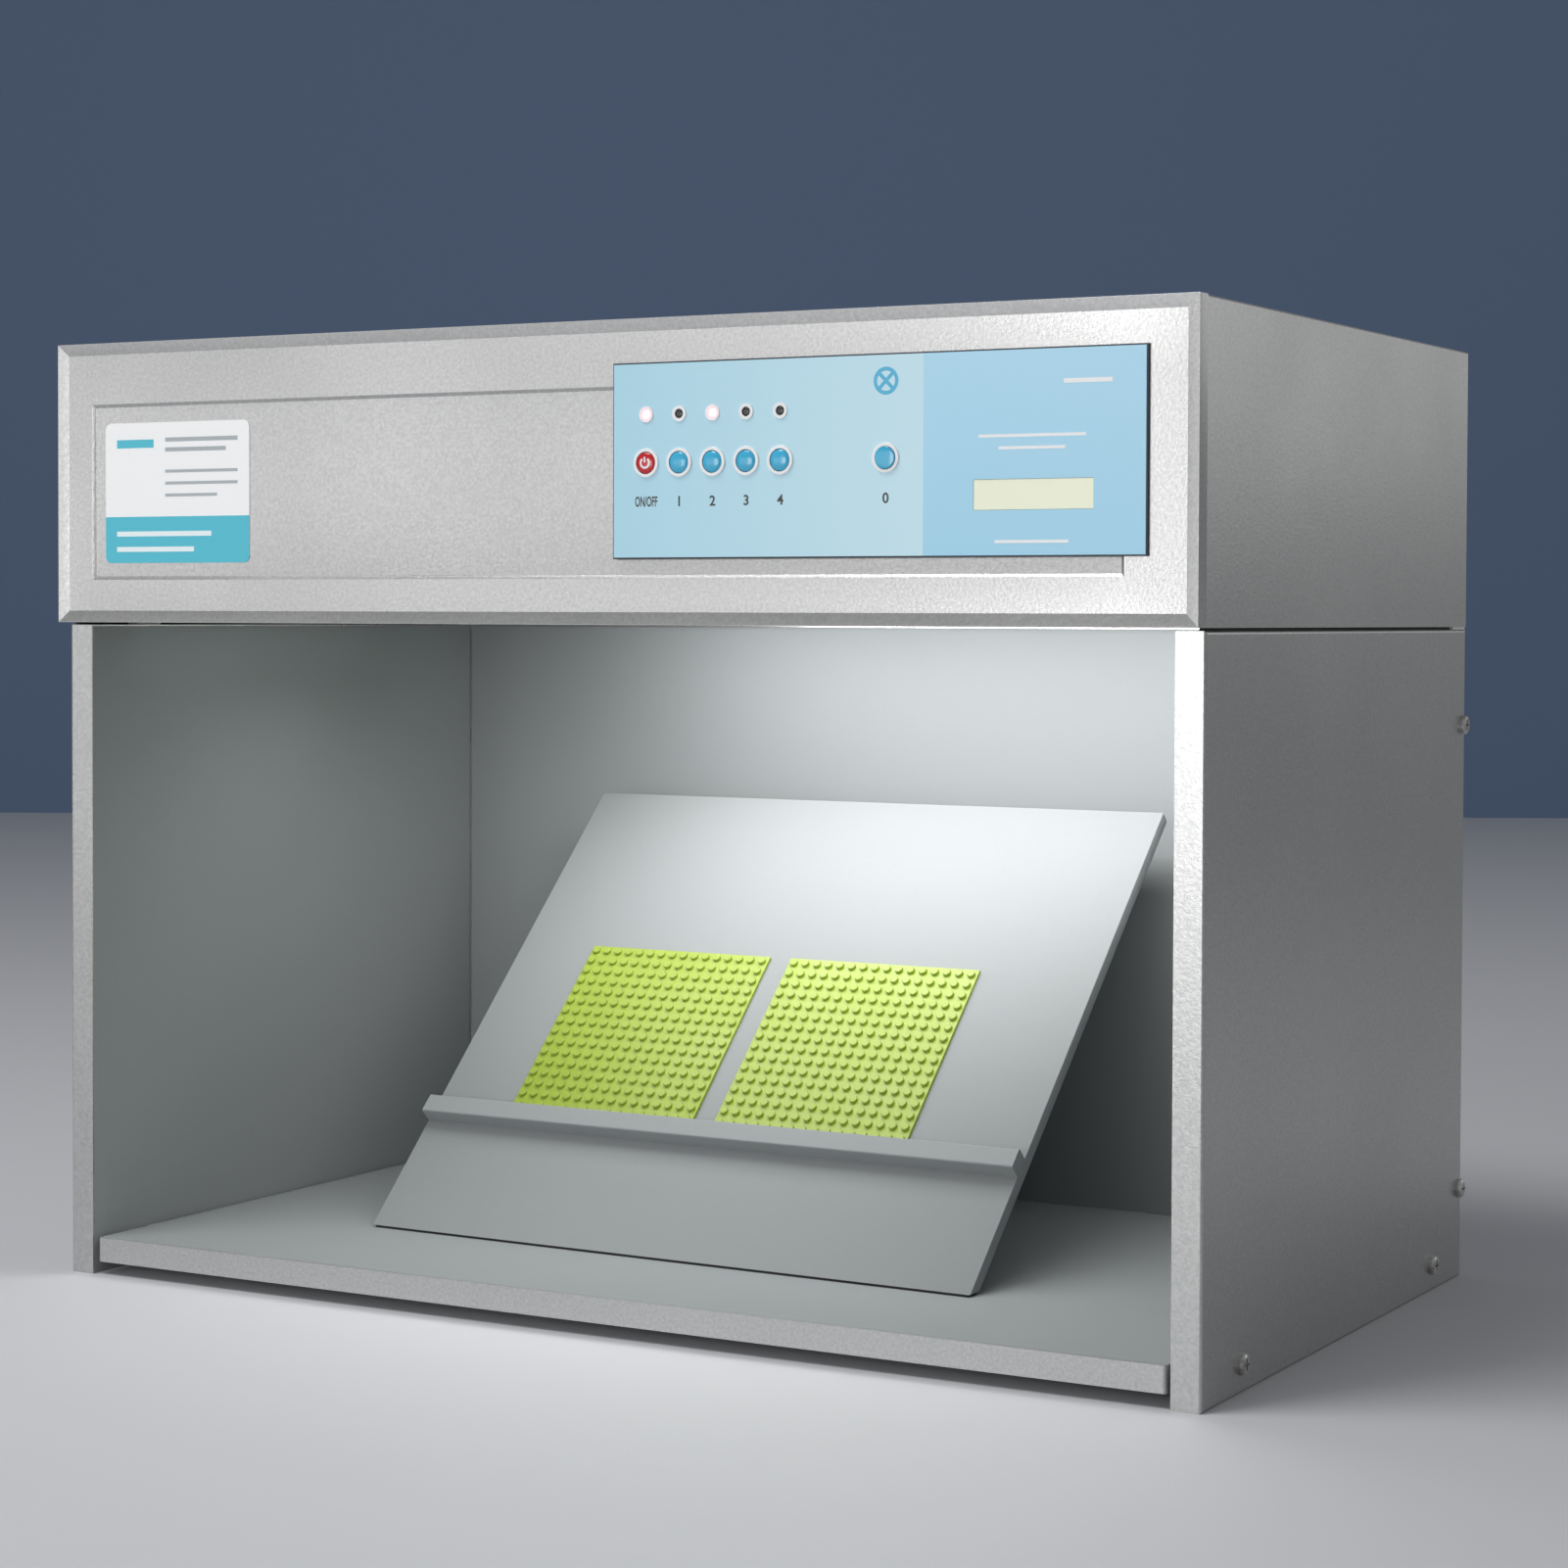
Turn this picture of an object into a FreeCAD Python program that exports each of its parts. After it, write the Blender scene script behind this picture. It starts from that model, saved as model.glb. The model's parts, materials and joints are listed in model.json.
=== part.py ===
import FreeCAD, Part
import math
import os

from FreeCAD import Vector

# A colour-assessment light cabinet: a lamp house over an open viewing booth, with a sloping sample stand.
# Millimetres, +Z up, the open front faces -Y, the origin is under the middle of the cabinet.

# Cabinet
cabinet_width = 710.0
cabinet_depth = 407.2
booth_height = 378.5
lamp_house_height = 160.0
seam = 1.5
sheet = 0.8
seat = 0.15
edge_radius = 1.6

# Booth panels, each a folded pan closed by a liner
side_thick = 16.0
back_thick = 14.5
base_thick = 14.0
base_lift = 7.5
base_gap = 2.5
base_setback = 1.0
base_corner_radius = 2.5
back_gap = 0.5
rib_width = 24.0
rib_share = 0.25

# Panel screws with their sleeves, washers and nuts
screw_radius = 2.5
screw_head_radius = 5.5
screw_head_height = 3.2
screw_head_round = 1.8
recess_length = 6.0
recess_width = 1.3
recess_depth = 1.6
screw_clearance = 0.1
screw_grip = 8.0
sleeve_radius = 4.2
washer_radius = 6.0
nut_radius = 4.2
nut_thick = 4.0
base_screw_inset = 52.0
back_screw_low = 52.0
back_screw_high = 323.0

# Spacers that hold the lamp house off the side panels, and the gasket that darkens the seam
spacer_length = 22.0
front_spacer_width = 6.0
front_spacer_inset = 45.0
spacer_edge = 0.5
dowel_radius = 2.5
dowel_length = 5.0
gasket_setback = 2.0
gasket_width = 2.5

# Fascia, with a proud bevelled rim, a face set back in it and a field set back again
fascia_depth = 10.2
rim_land = 0.8
bevel_inset = 6.7
bevel_depth = 2.0
field_left_margin = 24.0
field_right_margin = 39.5
field_low = 24.5
field_high = 125.0
field_depth = 1.5
field_bevel = 2.5
field_radius = 3.5

# Label card on the field
card_left = 9.0
card_width = 104.0
card_low = 9.5
card_height = 80.0
card_thick = 0.4
card_radius = 4.0

# Control panel
panel_right_margin = 27.4
panel_width = 302.2
panel_low = 35.3
panel_height = 100.7
plate_border = 0.8
plate_thick = 1.5
overlay_thick = 0.6
window_side = 10.0
window_right = 21.5
window_low = 9.5
window_high = 17.5

# Keys and indicators
key_count = 5
key_first = 20.0
key_pitch = 20.05
key_row = 49.2
clear_key_place = 160.9
key_radius = 5.6
key_round = 1.3
key_proud = 0.9
key_clearance = 0.3
key_travel = 1.0
key_flange = 1.2
key_flange_thick = 1.0
key_stem_radius = 2.0
key_stem_length = 3.0
ring_radius = 7.6
ring_rise = 0.9
indicator_row = 74.4
indicator_radius = 2.4
indicator_ring_radius = 4.1
indicator_ring_rise = 0.6
indicator_clearance = 0.1
lit_indicators = (0, 2)

# Display and control board
display_left = 210.0
display_low = 22.4
display_width = 64.6
display_height = 14.9
display_recess = 0.2
display_border = 3.0
board_margin = 4.0
board_thick = 1.6
switch_size = 6.5
switch_thick = 4.0
standoff_radius = 2.5
standoff_inset = 4.5

# Lamp house inside
flange_width = 22.0
rear_flange_width = 14.0
control_bay = 45.0
rear_bay = 48.0
end_bay = 27.0
electronics_bay = 85.0
reflector_taper = 6.0
reflector_flange = 10.0
tube_count = 5
tube_radius = 13.0
tube_cap_length = 14.0
tube_drop = 44.0
tube_wall_gap = 14.0
holder_thick = 18.0
holder_width = 27.0
holder_below = 14.0
bulb_radius = 29.0
bulb_neck_radius = 13.5
bulb_length = 84.0
bulb_cap_radius = 13.0
bulb_cap_length = 22.0
bulb_drop = 36.0
bulb_gap = 12.0
socket_radius = 20.0
socket_length = 38.0
ballast_count = 3
ballast_length = 170.0
ballast_width = 42.0
ballast_height = 30.0
ballast_gap = 25.0

# Rear panel of the lamp house
vent_count = 12
vent_width = 4.0
vent_height = 52.0
vent_pitch = 11.0
vent_low = 74.0
vent_group_place = 170.0
inlet_margin = 100.0
inlet_low = 24.0
inlet_width = 27.5
inlet_height = 20.0
inlet_depth = 18.0
inlet_border = 5.0
inlet_ears = 11.0
inlet_flange = 2.6
inlet_wall = 1.6
inlet_clearance = 0.2
blade_thick = 2.0
blade_height = 4.0
blade_length = 14.0
blade_pitch = 7.0
rear_screw_radius = 1.9
rear_screw_head = 3.6
rear_screw_rise = 2.0
rear_screw_length = 6.0
rear_screw_inset = 7.5

# Viewing stand
stand_width = 400.0
stand_length = 348.0
stand_thick = 8.0
stand_slope = 45.0
stand_turn = -1.3
stand_place = -18.0
stand_back_gap = 27.5
foot_thick = 1.2
foot_inset = 2.0
ledge_place = 78.5
ledge_height = 12.5
ledge_depth = 9.5
ledge_round = 1.0

# Folding prop behind the stand
hinge_place = 318.0
hinge_offset = 6.0
hinge_radius = 5.0
hinge_pin_radius = 2.5
hinge_clearance = 0.08
hinge_spacing = 100.0
hinge_leaf_width = 56.0
hinge_leaf_length = 34.0
hinge_leaf_thick = 2.0
knuckle_gap = 0.4
prop_width = 140.0
prop_thick = 5.0
prop_neck = 8.0
prop_foot_thick = 3.0
prop_clearance = 0.3

# Sample plates
stud_count = 16
stud_pitch = 8.0
plate_base = 1.8
plate_seat = 0.2
plate_places = (-81.0, 61.5)

# Places worked out from the sizes above
half = cabinet_width / 2
front_stack = plate_thick + overlay_thick + ring_rise + key_proud - bevel_depth
front = front_stack - (cabinet_depth + front_stack + inlet_flange) / 2
rear = front + cabinet_depth
panel_front = front + fascia_depth
lamp_floor = booth_height + seam
top = lamp_floor + lamp_house_height
inner = half - side_thick
base_half = inner - base_gap
base_top = base_lift + base_thick
back_front = rear - back_thick
screw_hole = screw_radius + screw_clearance
back_screw_inset = max(sleeve_radius, nut_radius) + sheet + seat
base_screw_z = base_lift + base_thick / 2
plate_back = front + bevel_depth
field_face = plate_back + field_depth
plate_front = plate_back - plate_thick
overlay_front = plate_front - overlay_thick
ring_front = overlay_front - ring_rise
key_front = ring_front - key_proud
panel_left = half - panel_right_margin - panel_width
panel_bottom = lamp_floor + panel_low
stem_end = plate_back + seat + key_flange_thick + key_stem_length
switch_front = stem_end + key_travel + seat
board_front = switch_front + switch_thick
frame_low = lamp_floor + sheet
frame_high = frame_low + sheet
ceiling = top - electronics_bay
reflector_front = panel_front + control_bay
reflector_rear = rear - rear_bay
reflector_half = half - end_bay
inlet_place = half - inlet_margin

X = Vector(1, 0, 0)
Y = Vector(0, 1, 0)
Z = Vector(0, 0, 1)


def block(x0, x1, y0, y1, z0, z1):
    return Part.makeBox(x1 - x0, y1 - y0, z1 - z0, Vector(x0, y0, z0))


def rod(x, y, z, direction, radius, length):
    return Part.makeCylinder(radius, length, Vector(x, y, z), direction)


def tube(x, y, z, direction, outside, inside, length):
    return rod(x, y, z, direction, outside, length).cut(rod(x, y, z, direction, inside, length))


def mirrored(shape):
    return shape.mirror(Vector(0, 0, 0), X)


def both_sides(shapes):
    return list(shapes) + [mirrored(shape) for shape in shapes]


def edges_in_plane(shape, axis, value):
    """The edges of a shape that lie wholly in the plane where one coordinate has a value."""
    found = []
    for edge in shape.Edges:
        box = edge.BoundBox
        low = (box.XMin, box.YMin, box.ZMin)[axis]
        high = (box.XMax, box.YMax, box.ZMax)[axis]
        if abs(low - value) < 1e-4 and abs(high - value) < 1e-4:
            found.append(edge)
    return found


def edges_along(shape, axis, **at):
    """The straight edges that run along one axis and stand at the given x, y or z."""
    names = ("x", "y", "z")
    found = []
    for edge in shape.Edges:
        box = edge.BoundBox
        low = (box.XMin, box.YMin, box.ZMin)
        high = (box.XMax, box.YMax, box.ZMax)
        runs = high[axis] - low[axis] > 1e-3
        stands = all(
            abs(low[names.index(name)] - value) < 1e-4 and abs(high[names.index(name)] - value) < 1e-4
            for name, value in at.items()
        )
        if runs and stands:
            found.append(edge)
    return found


def rounded_outline(x0, x1, z0, z1, y, radius):
    """A closed upright rectangle with round corners, in the plane at y."""
    r = max(radius, 1e-3)
    q = r * (1 - math.sqrt(0.5))
    corners = (
        (Vector(x0 + r, y, z0), Vector(x1 - r, y, z0), Vector(x1 - q, y, z0 + q), Vector(x1, y, z0 + r)),
        (Vector(x1, y, z0 + r), Vector(x1, y, z1 - r), Vector(x1 - q, y, z1 - q), Vector(x1 - r, y, z1)),
        (Vector(x1 - r, y, z1), Vector(x0 + r, y, z1), Vector(x0 + q, y, z1 - q), Vector(x0, y, z1 - r)),
        (Vector(x0, y, z1 - r), Vector(x0, y, z0 + r), Vector(x0 + q, y, z0 + q), Vector(x0 + r, y, z0)),
    )
    edges = []
    for start, end, middle, turned in corners:
        edges.append(Part.makeLine(start, end))
        edges.append(Part.Arc(end, middle, turned).toShape())
    return Part.Wire(edges)


def rectangle(x0, x1, z0, z1, y):
    points = [Vector(x0, y, z0), Vector(x1, y, z0), Vector(x1, y, z1), Vector(x0, y, z1)]
    return Part.makePolygon(points + points[:1])


def plan_rectangle(x0, x1, y0, y1, z):
    points = [Vector(x0, y0, z), Vector(x1, y0, z), Vector(x1, y1, z), Vector(x0, y1, z)]
    return Part.makePolygon(points + points[:1])


def prism(points, direction):
    return Part.Face(Part.makePolygon(points + points[:1])).extrude(direction)


def save(name, *solids):
    shape = solids[0] if len(solids) == 1 else Part.makeCompound(list(solids))
    shape.exportStep(os.path.join("parts", name + ".step"))


# Booth: side panels

def panel_screw_places():
    """The y and z of each screw through a side panel: two into the base, two into the back."""
    base_front = panel_front + base_screw_inset
    base_rear = rear - base_screw_inset
    back = rear - back_screw_inset
    return (
        (base_front, base_screw_z, base_gap),
        (base_rear, base_screw_z, base_gap),
        (back, back_screw_low, back_gap),
        (back, back_screw_high, back_gap),
    )


def spacer_boxes():
    """The plan of the rear and the front spacer on the right side panel: x0, x1, y0, y1."""
    rear_pad = (inner, half - spacer_edge, rear - spacer_length, rear - spacer_edge)
    left = half - (side_thick + front_spacer_width) / 2
    first = panel_front + front_spacer_inset
    front_pad = (left, left + front_spacer_width, first, first + spacer_length)
    return rear_pad, front_pad


def dowel_holes(z0, z1):
    holes = []
    for x0, x1, y0, y1 in spacer_boxes():
        radius = dowel_radius + screw_clearance
        holes.append(rod((x0 + x1) / 2, (y0 + y1) / 2, z0, Z, radius, z1 - z0))
    return holes


def side_pan():
    outside = block(inner, half, panel_front, rear, 0, booth_height)
    outside = outside.makeFillet(edge_radius, edges_in_plane(outside, 0, half))
    hollow = block(
        inner - sheet, half - sheet, panel_front + sheet, rear - sheet, sheet, booth_height - sheet
    )
    pan = outside.cut(hollow)
    holes = [rod(inner, y, z, X, screw_hole, side_thick) for y, z, gap in panel_screw_places()]
    return pan.cut(holes + dowel_holes(booth_height - sheet, booth_height))


def side_liner():
    lip = sheet + seat
    liner = block(inner, inner + sheet, panel_front + lip, rear - lip, lip, booth_height - lip)
    return liner.cut([rod(inner, y, z, X, screw_hole, sheet) for y, z, gap in panel_screw_places()])


right_pan = side_pan()
right_liner = side_liner()


# Booth: back and base panels

def back_pan():
    side = inner - back_gap
    outside = block(-side, side, back_front, rear, base_lift, booth_height)
    outside = outside.makeFillet(edge_radius, edges_in_plane(outside, 1, rear))
    hollow = block(
        sheet - side, side - sheet, back_front - sheet, rear - sheet, base_lift + sheet, booth_height - sheet
    )
    holes = both_sides(
        [rod(side - sheet, y, z, X, screw_hole, sheet) for y, z, gap in panel_screw_places()[2:]]
    )
    return outside.cut([hollow] + holes)


def back_liner():
    side = inner - back_gap - sheet - seat
    lip = sheet + seat
    return block(-side, side, back_front, back_front + sheet, base_lift + lip, booth_height - lip)


def base_pan():
    base_front = panel_front + base_setback
    base_rear = back_front - seat
    outside = block(-base_half, base_half, base_front, base_rear, base_lift, base_top)
    corners = edges_along(outside, 2, x=base_half, y=base_front)
    corners += edges_along(outside, 2, x=-base_half, y=base_front)
    outside = outside.makeFillet(base_corner_radius, corners)
    hollow = block(
        sheet - base_half, base_half - sheet, base_front + sheet, base_rear - sheet,
        base_lift + sheet, base_top + sheet
    )
    holes = both_sides(
        [rod(base_half - sheet, y, z, X, screw_hole, sheet) for y, z, gap in panel_screw_places()[:2]]
    )
    return outside.cut([hollow] + holes)


def base_deck():
    side = base_half - sheet - seat
    lip = sheet + seat
    return block(
        -side, side, panel_front + base_setback + lip, back_front - seat - lip, base_top - sheet, base_top
    )


def rib(x0, x1, y0, y1, z0, z1, axis):
    """A square-section rib, hollow along the axis that it runs on."""
    lows = [x0, y0, z0]
    highs = [x1, y1, z1]
    hollow = [(low + sheet, high - sheet) for low, high in zip(lows, highs)]
    hollow[axis] = (lows[axis], highs[axis])
    return block(x0, x1, y0, y1, z0, z1).cut(block(*hollow[0], *hollow[1], *hollow[2]))


def panel_ribs():
    lip = sheet + seat
    side_middle = (panel_front + rear) / 2
    side_step = rib_share * (rear - panel_front)
    ribs = []
    for place in (side_middle - side_step, side_middle + side_step):
        low = place - rib_width / 2
        side_rib = rib(inner + sheet, half - sheet, low, low + rib_width, lip, booth_height - lip, 2)
        ribs += both_sides([side_rib])
    left = rib_share * cabinet_width - rib_width / 2
    right = left + rib_width
    back_rib = rib(left, right, back_front + sheet, rear - sheet, base_lift + lip, booth_height - lip, 2)
    base_front = panel_front + base_setback + lip
    base_rib = rib(left, right, base_front, back_front - seat - lip, base_lift + sheet, base_top - sheet, 1)
    return ribs + both_sides([back_rib, base_rib])


# Booth: screws and what they pass through

def panel_screw(y, z):
    head = rod(half, y, z, X, screw_head_radius, screw_head_height)
    head = head.makeFillet(screw_head_round, edges_in_plane(head, 0, half + screw_head_height))
    tip = half + screw_head_height
    bars = []
    for across, along in ((recess_length, recess_width), (recess_width, recess_length)):
        bars.append(
            block(tip - recess_depth, tip, y - across / 2, y + across / 2, z - along / 2, z + along / 2)
        )
    head = head.cut(bars)
    reach = side_thick + max(base_gap, back_gap) + sheet + screw_grip
    return head.fuse(rod(half, y, z, -X, screw_radius, reach)).removeSplitter()


def panel_sleeve(y, z):
    return tube(inner + sheet, y, z, X, sleeve_radius, screw_hole, side_thick - 2 * sheet)


def panel_nut(y, z, gap):
    return tube(inner - gap - sheet, y, z, -X, nut_radius, screw_hole, nut_thick)


def base_washer(y, z):
    return tube(base_half, y, z, X, washer_radius, screw_hole, base_gap)


def spacer(x0, x1, y0, y1):
    pad = block(x0, x1, y0, y1, booth_height, lamp_floor)
    low = booth_height - dowel_length
    dowel = rod((x0 + x1) / 2, (y0 + y1) / 2, low, Z, dowel_radius, lamp_floor + dowel_length - low)
    return pad.fuse(dowel).removeSplitter()


def seam_gasket():
    """Foam strips along the tops of the side panels and the back, filling the seam under the lamp house."""
    outer = half - gasket_setback
    end = rear - spacer_length - gasket_setback
    side = block(
        outer - gasket_width, outer, panel_front + gasket_setback, end, booth_height, lamp_floor
    )
    wide = inner - gasket_setback
    edge = rear - gasket_setback
    return both_sides([side]) + [block(-wide, wide, edge - gasket_width, edge, booth_height, lamp_floor)]


# Lamp house: sheet metal

def lamp_house_cover():
    outside = block(-half, half, panel_front, rear, lamp_floor, top)
    long_edges = edges_along(outside, 1, x=half, z=top) + edges_along(outside, 1, x=-half, z=top)
    outside = outside.makeFillet(edge_radius, long_edges)
    hollow = block(sheet - half, half - sheet, panel_front, rear, lamp_floor, top - sheet)
    flange = block(half - flange_width, half - sheet, panel_front, rear - 2 * sheet, lamp_floor, frame_low)
    back = rear - 2 * sheet
    stile = block(half - rear_flange_width, half - sheet, back, back + sheet, lamp_floor, top - sheet)
    rail = block(sheet - half, half - sheet, back, back + sheet, top - rear_flange_width, top - sheet)
    cover = outside.cut(hollow).fuse(both_sides([flange, stile]) + [rail]).removeSplitter()
    return cover.cut(both_sides(dowel_holes(lamp_floor, frame_low)) + rear_screw_holes())


def lamp_frame():
    side = half - sheet - seat
    plate = block(-side, side, panel_front + seat, rear - 2 * sheet - seat, frame_low, frame_high)
    mouth = block(
        -reflector_half, reflector_half, reflector_front, reflector_rear, frame_low, frame_high
    )
    return plate.cut([mouth] + both_sides(dowel_holes(frame_low, frame_high)))


def reflector():
    def trough(shrink, low, high):
        mouth = plan_rectangle(
            shrink - reflector_half, reflector_half - shrink,
            reflector_front + shrink, reflector_rear - shrink, low
        )
        narrow = shrink + reflector_taper
        roof = plan_rectangle(
            narrow - reflector_half, reflector_half - narrow,
            reflector_front + narrow, reflector_rear - narrow, high
        )
        return Part.makeLoft([mouth, roof], True, True)

    rim = block(
        -reflector_half - reflector_flange, reflector_half + reflector_flange,
        reflector_front - reflector_flange, reflector_rear + reflector_flange,
        frame_high, frame_high + sheet
    )
    outside = rim.fuse(trough(0, frame_high, ceiling))
    return outside.cut(trough(sheet, frame_high, ceiling - sheet)).removeSplitter()


def rear_screw_places():
    """The x and z of the screws that hold the rear panel to the cover's flanges."""
    side = half - rear_screw_inset
    high = top - rear_screw_inset
    middle = (lamp_floor + top) / 2
    return [(x, z) for x in (-side, side) for z in (middle, high)] + [(0, high)]


def rear_screw_holes():
    back = rear - 2 * sheet
    radius = rear_screw_radius + screw_clearance
    return [rod(x, back, z, Y, radius, 2 * sheet) for x, z in rear_screw_places()]


def rear_screw(x, z):
    head = rod(x, rear, z, Y, rear_screw_head, rear_screw_rise)
    head = head.makeFillet(rear_screw_rise / 2, edges_in_plane(head, 1, rear + rear_screw_rise))
    return head.fuse(rod(x, rear, z, -Y, rear_screw_radius, rear_screw_length)).removeSplitter()


def rear_panel():
    side = half - sheet - seat
    plate = block(-side, side, rear - sheet, rear, frame_low, top - sheet - seat)
    low = lamp_floor + vent_low
    cuts = []
    for group in (-vent_group_place, vent_group_place):
        first = group - (vent_count - 1) * vent_pitch / 2 - vent_width / 2
        for index in range(vent_count):
            left = first + index * vent_pitch
            cuts.append(block(left, left + vent_width, rear - sheet, rear, low, low + vent_height))
    cuts.append(inlet_body(inlet_clearance, sheet))
    return plate.cut(cuts + rear_screw_holes())


# Lamp house: mains inlet

def inlet_body(grow, depth):
    """The part of the inlet that passes through the rear panel, larger all round by grow."""
    wide = inlet_width / 2 + grow
    low = lamp_floor + inlet_low - grow
    high = lamp_floor + inlet_low + inlet_height + grow
    return block(-inlet_place - wide, wide - inlet_place, rear - depth, rear, low, high)


def mains_inlet():
    low = lamp_floor + inlet_low
    wide = inlet_width / 2 + inlet_ears
    flange = block(
        -inlet_place - wide, wide - inlet_place, rear, rear + inlet_flange,
        low - inlet_border, low + inlet_height + inlet_border
    )
    flange = flange.makeFillet(inlet_border, edges_along(flange, 1))
    recess = inlet_body(-inlet_wall, inlet_depth - inlet_wall)
    mouth = recess.copy()
    mouth.translate(Vector(0, inlet_flange, 0))
    return flange.fuse(inlet_body(0, inlet_depth)).cut([recess, mouth]).removeSplitter()


def inlet_blades():
    floor = rear - inlet_depth + inlet_wall
    middle = lamp_floor + inlet_low + inlet_height / 2
    blades = []
    for step, lift in ((-1, -1), (0, 1), (1, -1)):
        x = step * blade_pitch - inlet_place
        z = middle + lift * blade_height / 2
        blades.append(
            block(
                x - blade_thick / 2, x + blade_thick / 2, floor, floor + blade_length,
                z - blade_height / 2, z + blade_height / 2
            )
        )
    return blades


# Lamp house: lamps and their gear

bulb_row = reflector_rear - reflector_taper - bulb_gap - bulb_radius
bulb_z = ceiling - bulb_drop
first_tube_row = reflector_front + reflector_taper + tube_wall_gap + tube_radius
last_tube_row = bulb_row - bulb_radius - bulb_gap - tube_radius
tube_pitch = (last_tube_row - first_tube_row) / (tube_count - 1)
tube_rows = [first_tube_row + index * tube_pitch for index in range(tube_count)]
tube_z = ceiling - sheet - tube_drop
holder_outside = reflector_half - reflector_taper - sheet - seat
tube_half = holder_outside - holder_thick


def tube_glass(row):
    length = tube_half - tube_cap_length
    return rod(-length, row, tube_z, X, tube_radius, 2 * length)


def tube_caps(row):
    return both_sides([rod(tube_half - tube_cap_length, row, tube_z, X, tube_radius, tube_cap_length)])


def tube_holders(row):
    low = tube_z - holder_below
    holder = block(
        tube_half, holder_outside, row - holder_width / 2, row + holder_width / 2, low, ceiling - sheet
    )
    holder = holder.makeFillet(holder_width / 3, edges_along(holder, 0, z=low))
    return both_sides([holder])


def bulb_profile(start, way):
    """The glass of one bulb, turned about its own axis, from its cap outwards."""
    centre = bulb_length - bulb_radius
    shoulder = math.sqrt(bulb_radius ** 2 - bulb_neck_radius ** 2)
    bend = Vector(start + way * (centre - bulb_radius * math.cos(math.pi / 4)), bulb_row,
                  bulb_z + bulb_radius * math.sin(math.pi / 4))
    neck = Vector(start, bulb_row, bulb_z + bulb_neck_radius)
    meet = Vector(start + way * (centre - shoulder), bulb_row, bulb_z + bulb_neck_radius)
    tip = Vector(start + way * bulb_length, bulb_row, bulb_z)
    crown = Vector(start + way * centre, bulb_row, bulb_z + bulb_radius)
    foot = Vector(start, bulb_row, bulb_z)
    high = Vector(start + way * (centre + bulb_radius * math.cos(math.pi / 4)), bulb_row, bend.z)
    edges = [
        Part.makeLine(foot, neck),
        Part.makeLine(neck, meet),
        Part.Arc(meet, bend, crown).toShape(),
        Part.Arc(crown, high, tip).toShape(),
        Part.makeLine(tip, foot),
    ]
    return Part.Face(Part.Wire(edges)).revolve(Vector(start, bulb_row, bulb_z), X, 360)


def bulb_sets():
    """Socket, cap and glass of the four bulbs: an outer and an inner bulb on each side."""
    outer_socket = holder_outside - socket_length
    inner_socket = bulb_gap / 2
    sockets = []
    caps = []
    glasses = []
    for socket_start, cap_start, way in (
        (outer_socket, outer_socket, -1),
        (inner_socket, inner_socket + socket_length, 1),
    ):
        barrel = rod(socket_start, bulb_row, bulb_z, X, socket_radius, socket_length)
        foot = block(
            socket_start, socket_start + socket_length,
            bulb_row - socket_radius / 2, bulb_row + socket_radius / 2, bulb_z, ceiling - sheet
        )
        sockets.append(barrel.fuse(foot).removeSplitter())
        caps.append(rod(cap_start, bulb_row, bulb_z, X * way, bulb_cap_radius, bulb_cap_length))
        glasses.append(bulb_profile(cap_start + way * bulb_cap_length, way))
    return both_sides(sockets), both_sides(caps), both_sides(glasses)


def ballasts():
    run = ballast_count * ballast_length + (ballast_count - 1) * ballast_gap
    middle = (reflector_front + reflector_rear) / 2
    boxes = []
    for index in range(ballast_count):
        left = index * (ballast_length + ballast_gap) - run / 2
        case = block(
            left, left + ballast_length, middle - ballast_width / 2, middle + ballast_width / 2,
            ceiling, ceiling + ballast_height
        )
        boxes.append(case.makeFillet(edge_radius, edges_in_plane(case, 2, ceiling + ballast_height)))
    return boxes


# Fascia

field_left = field_left_margin - half
field_right = half - field_right_margin
field_bottom = lamp_floor + field_low
field_top = lamp_floor + field_high
window = (
    panel_left + window_side, panel_left + panel_width - window_right,
    panel_bottom + window_low, panel_bottom + panel_height - window_high,
)


def front_fascia():
    outside = block(-half, half, front, panel_front, lamp_floor, top)
    well = Part.makeLoft(
        [
            rectangle(rim_land - half, half - rim_land, lamp_floor + rim_land, top - rim_land, front),
            rectangle(
                bevel_inset - half, half - bevel_inset, lamp_floor + bevel_inset, top - bevel_inset, plate_back
            ),
        ],
        True, True
    )
    field = Part.makeLoft(
        [
            rounded_outline(field_left, field_right, field_bottom, field_top, plate_back, field_radius),
            rounded_outline(
                field_left + field_bevel, field_right - field_bevel,
                field_bottom + field_bevel, field_top - field_bevel, field_face, field_radius - field_bevel
            ),
        ],
        True, True
    )
    hollow = block(
        sheet - half, half - sheet, plate_back + sheet, panel_front, lamp_floor + sheet, top - sheet
    )
    behind_field = block(
        field_left - sheet, field_right + sheet, plate_back, field_face + sheet,
        field_bottom - sheet, field_top + sheet
    )
    x0, x1, z0, z1 = window
    opening = block(x0, x1, front, panel_front, z0, z1)
    return outside.cut([well, field, hollow.cut(behind_field), opening]).removeSplitter()


def label_card():
    left = field_left + card_left
    low = field_bottom + card_low
    outline = rounded_outline(left, left + card_width, low, low + card_height, field_face, card_radius)
    return Part.Face(outline).extrude(Vector(0, -card_thick, 0))


# Control panel

key_z = panel_bottom + key_row
key_places = [panel_left + key_first + index * key_pitch for index in range(key_count)]
clear_key_x = panel_left + clear_key_place
all_key_places = key_places + [clear_key_x]
indicator_z = panel_bottom + indicator_row
display_box = (
    panel_left + display_left, panel_left + display_left + display_width,
    panel_bottom + display_low, panel_bottom + display_low + display_height,
)


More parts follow.
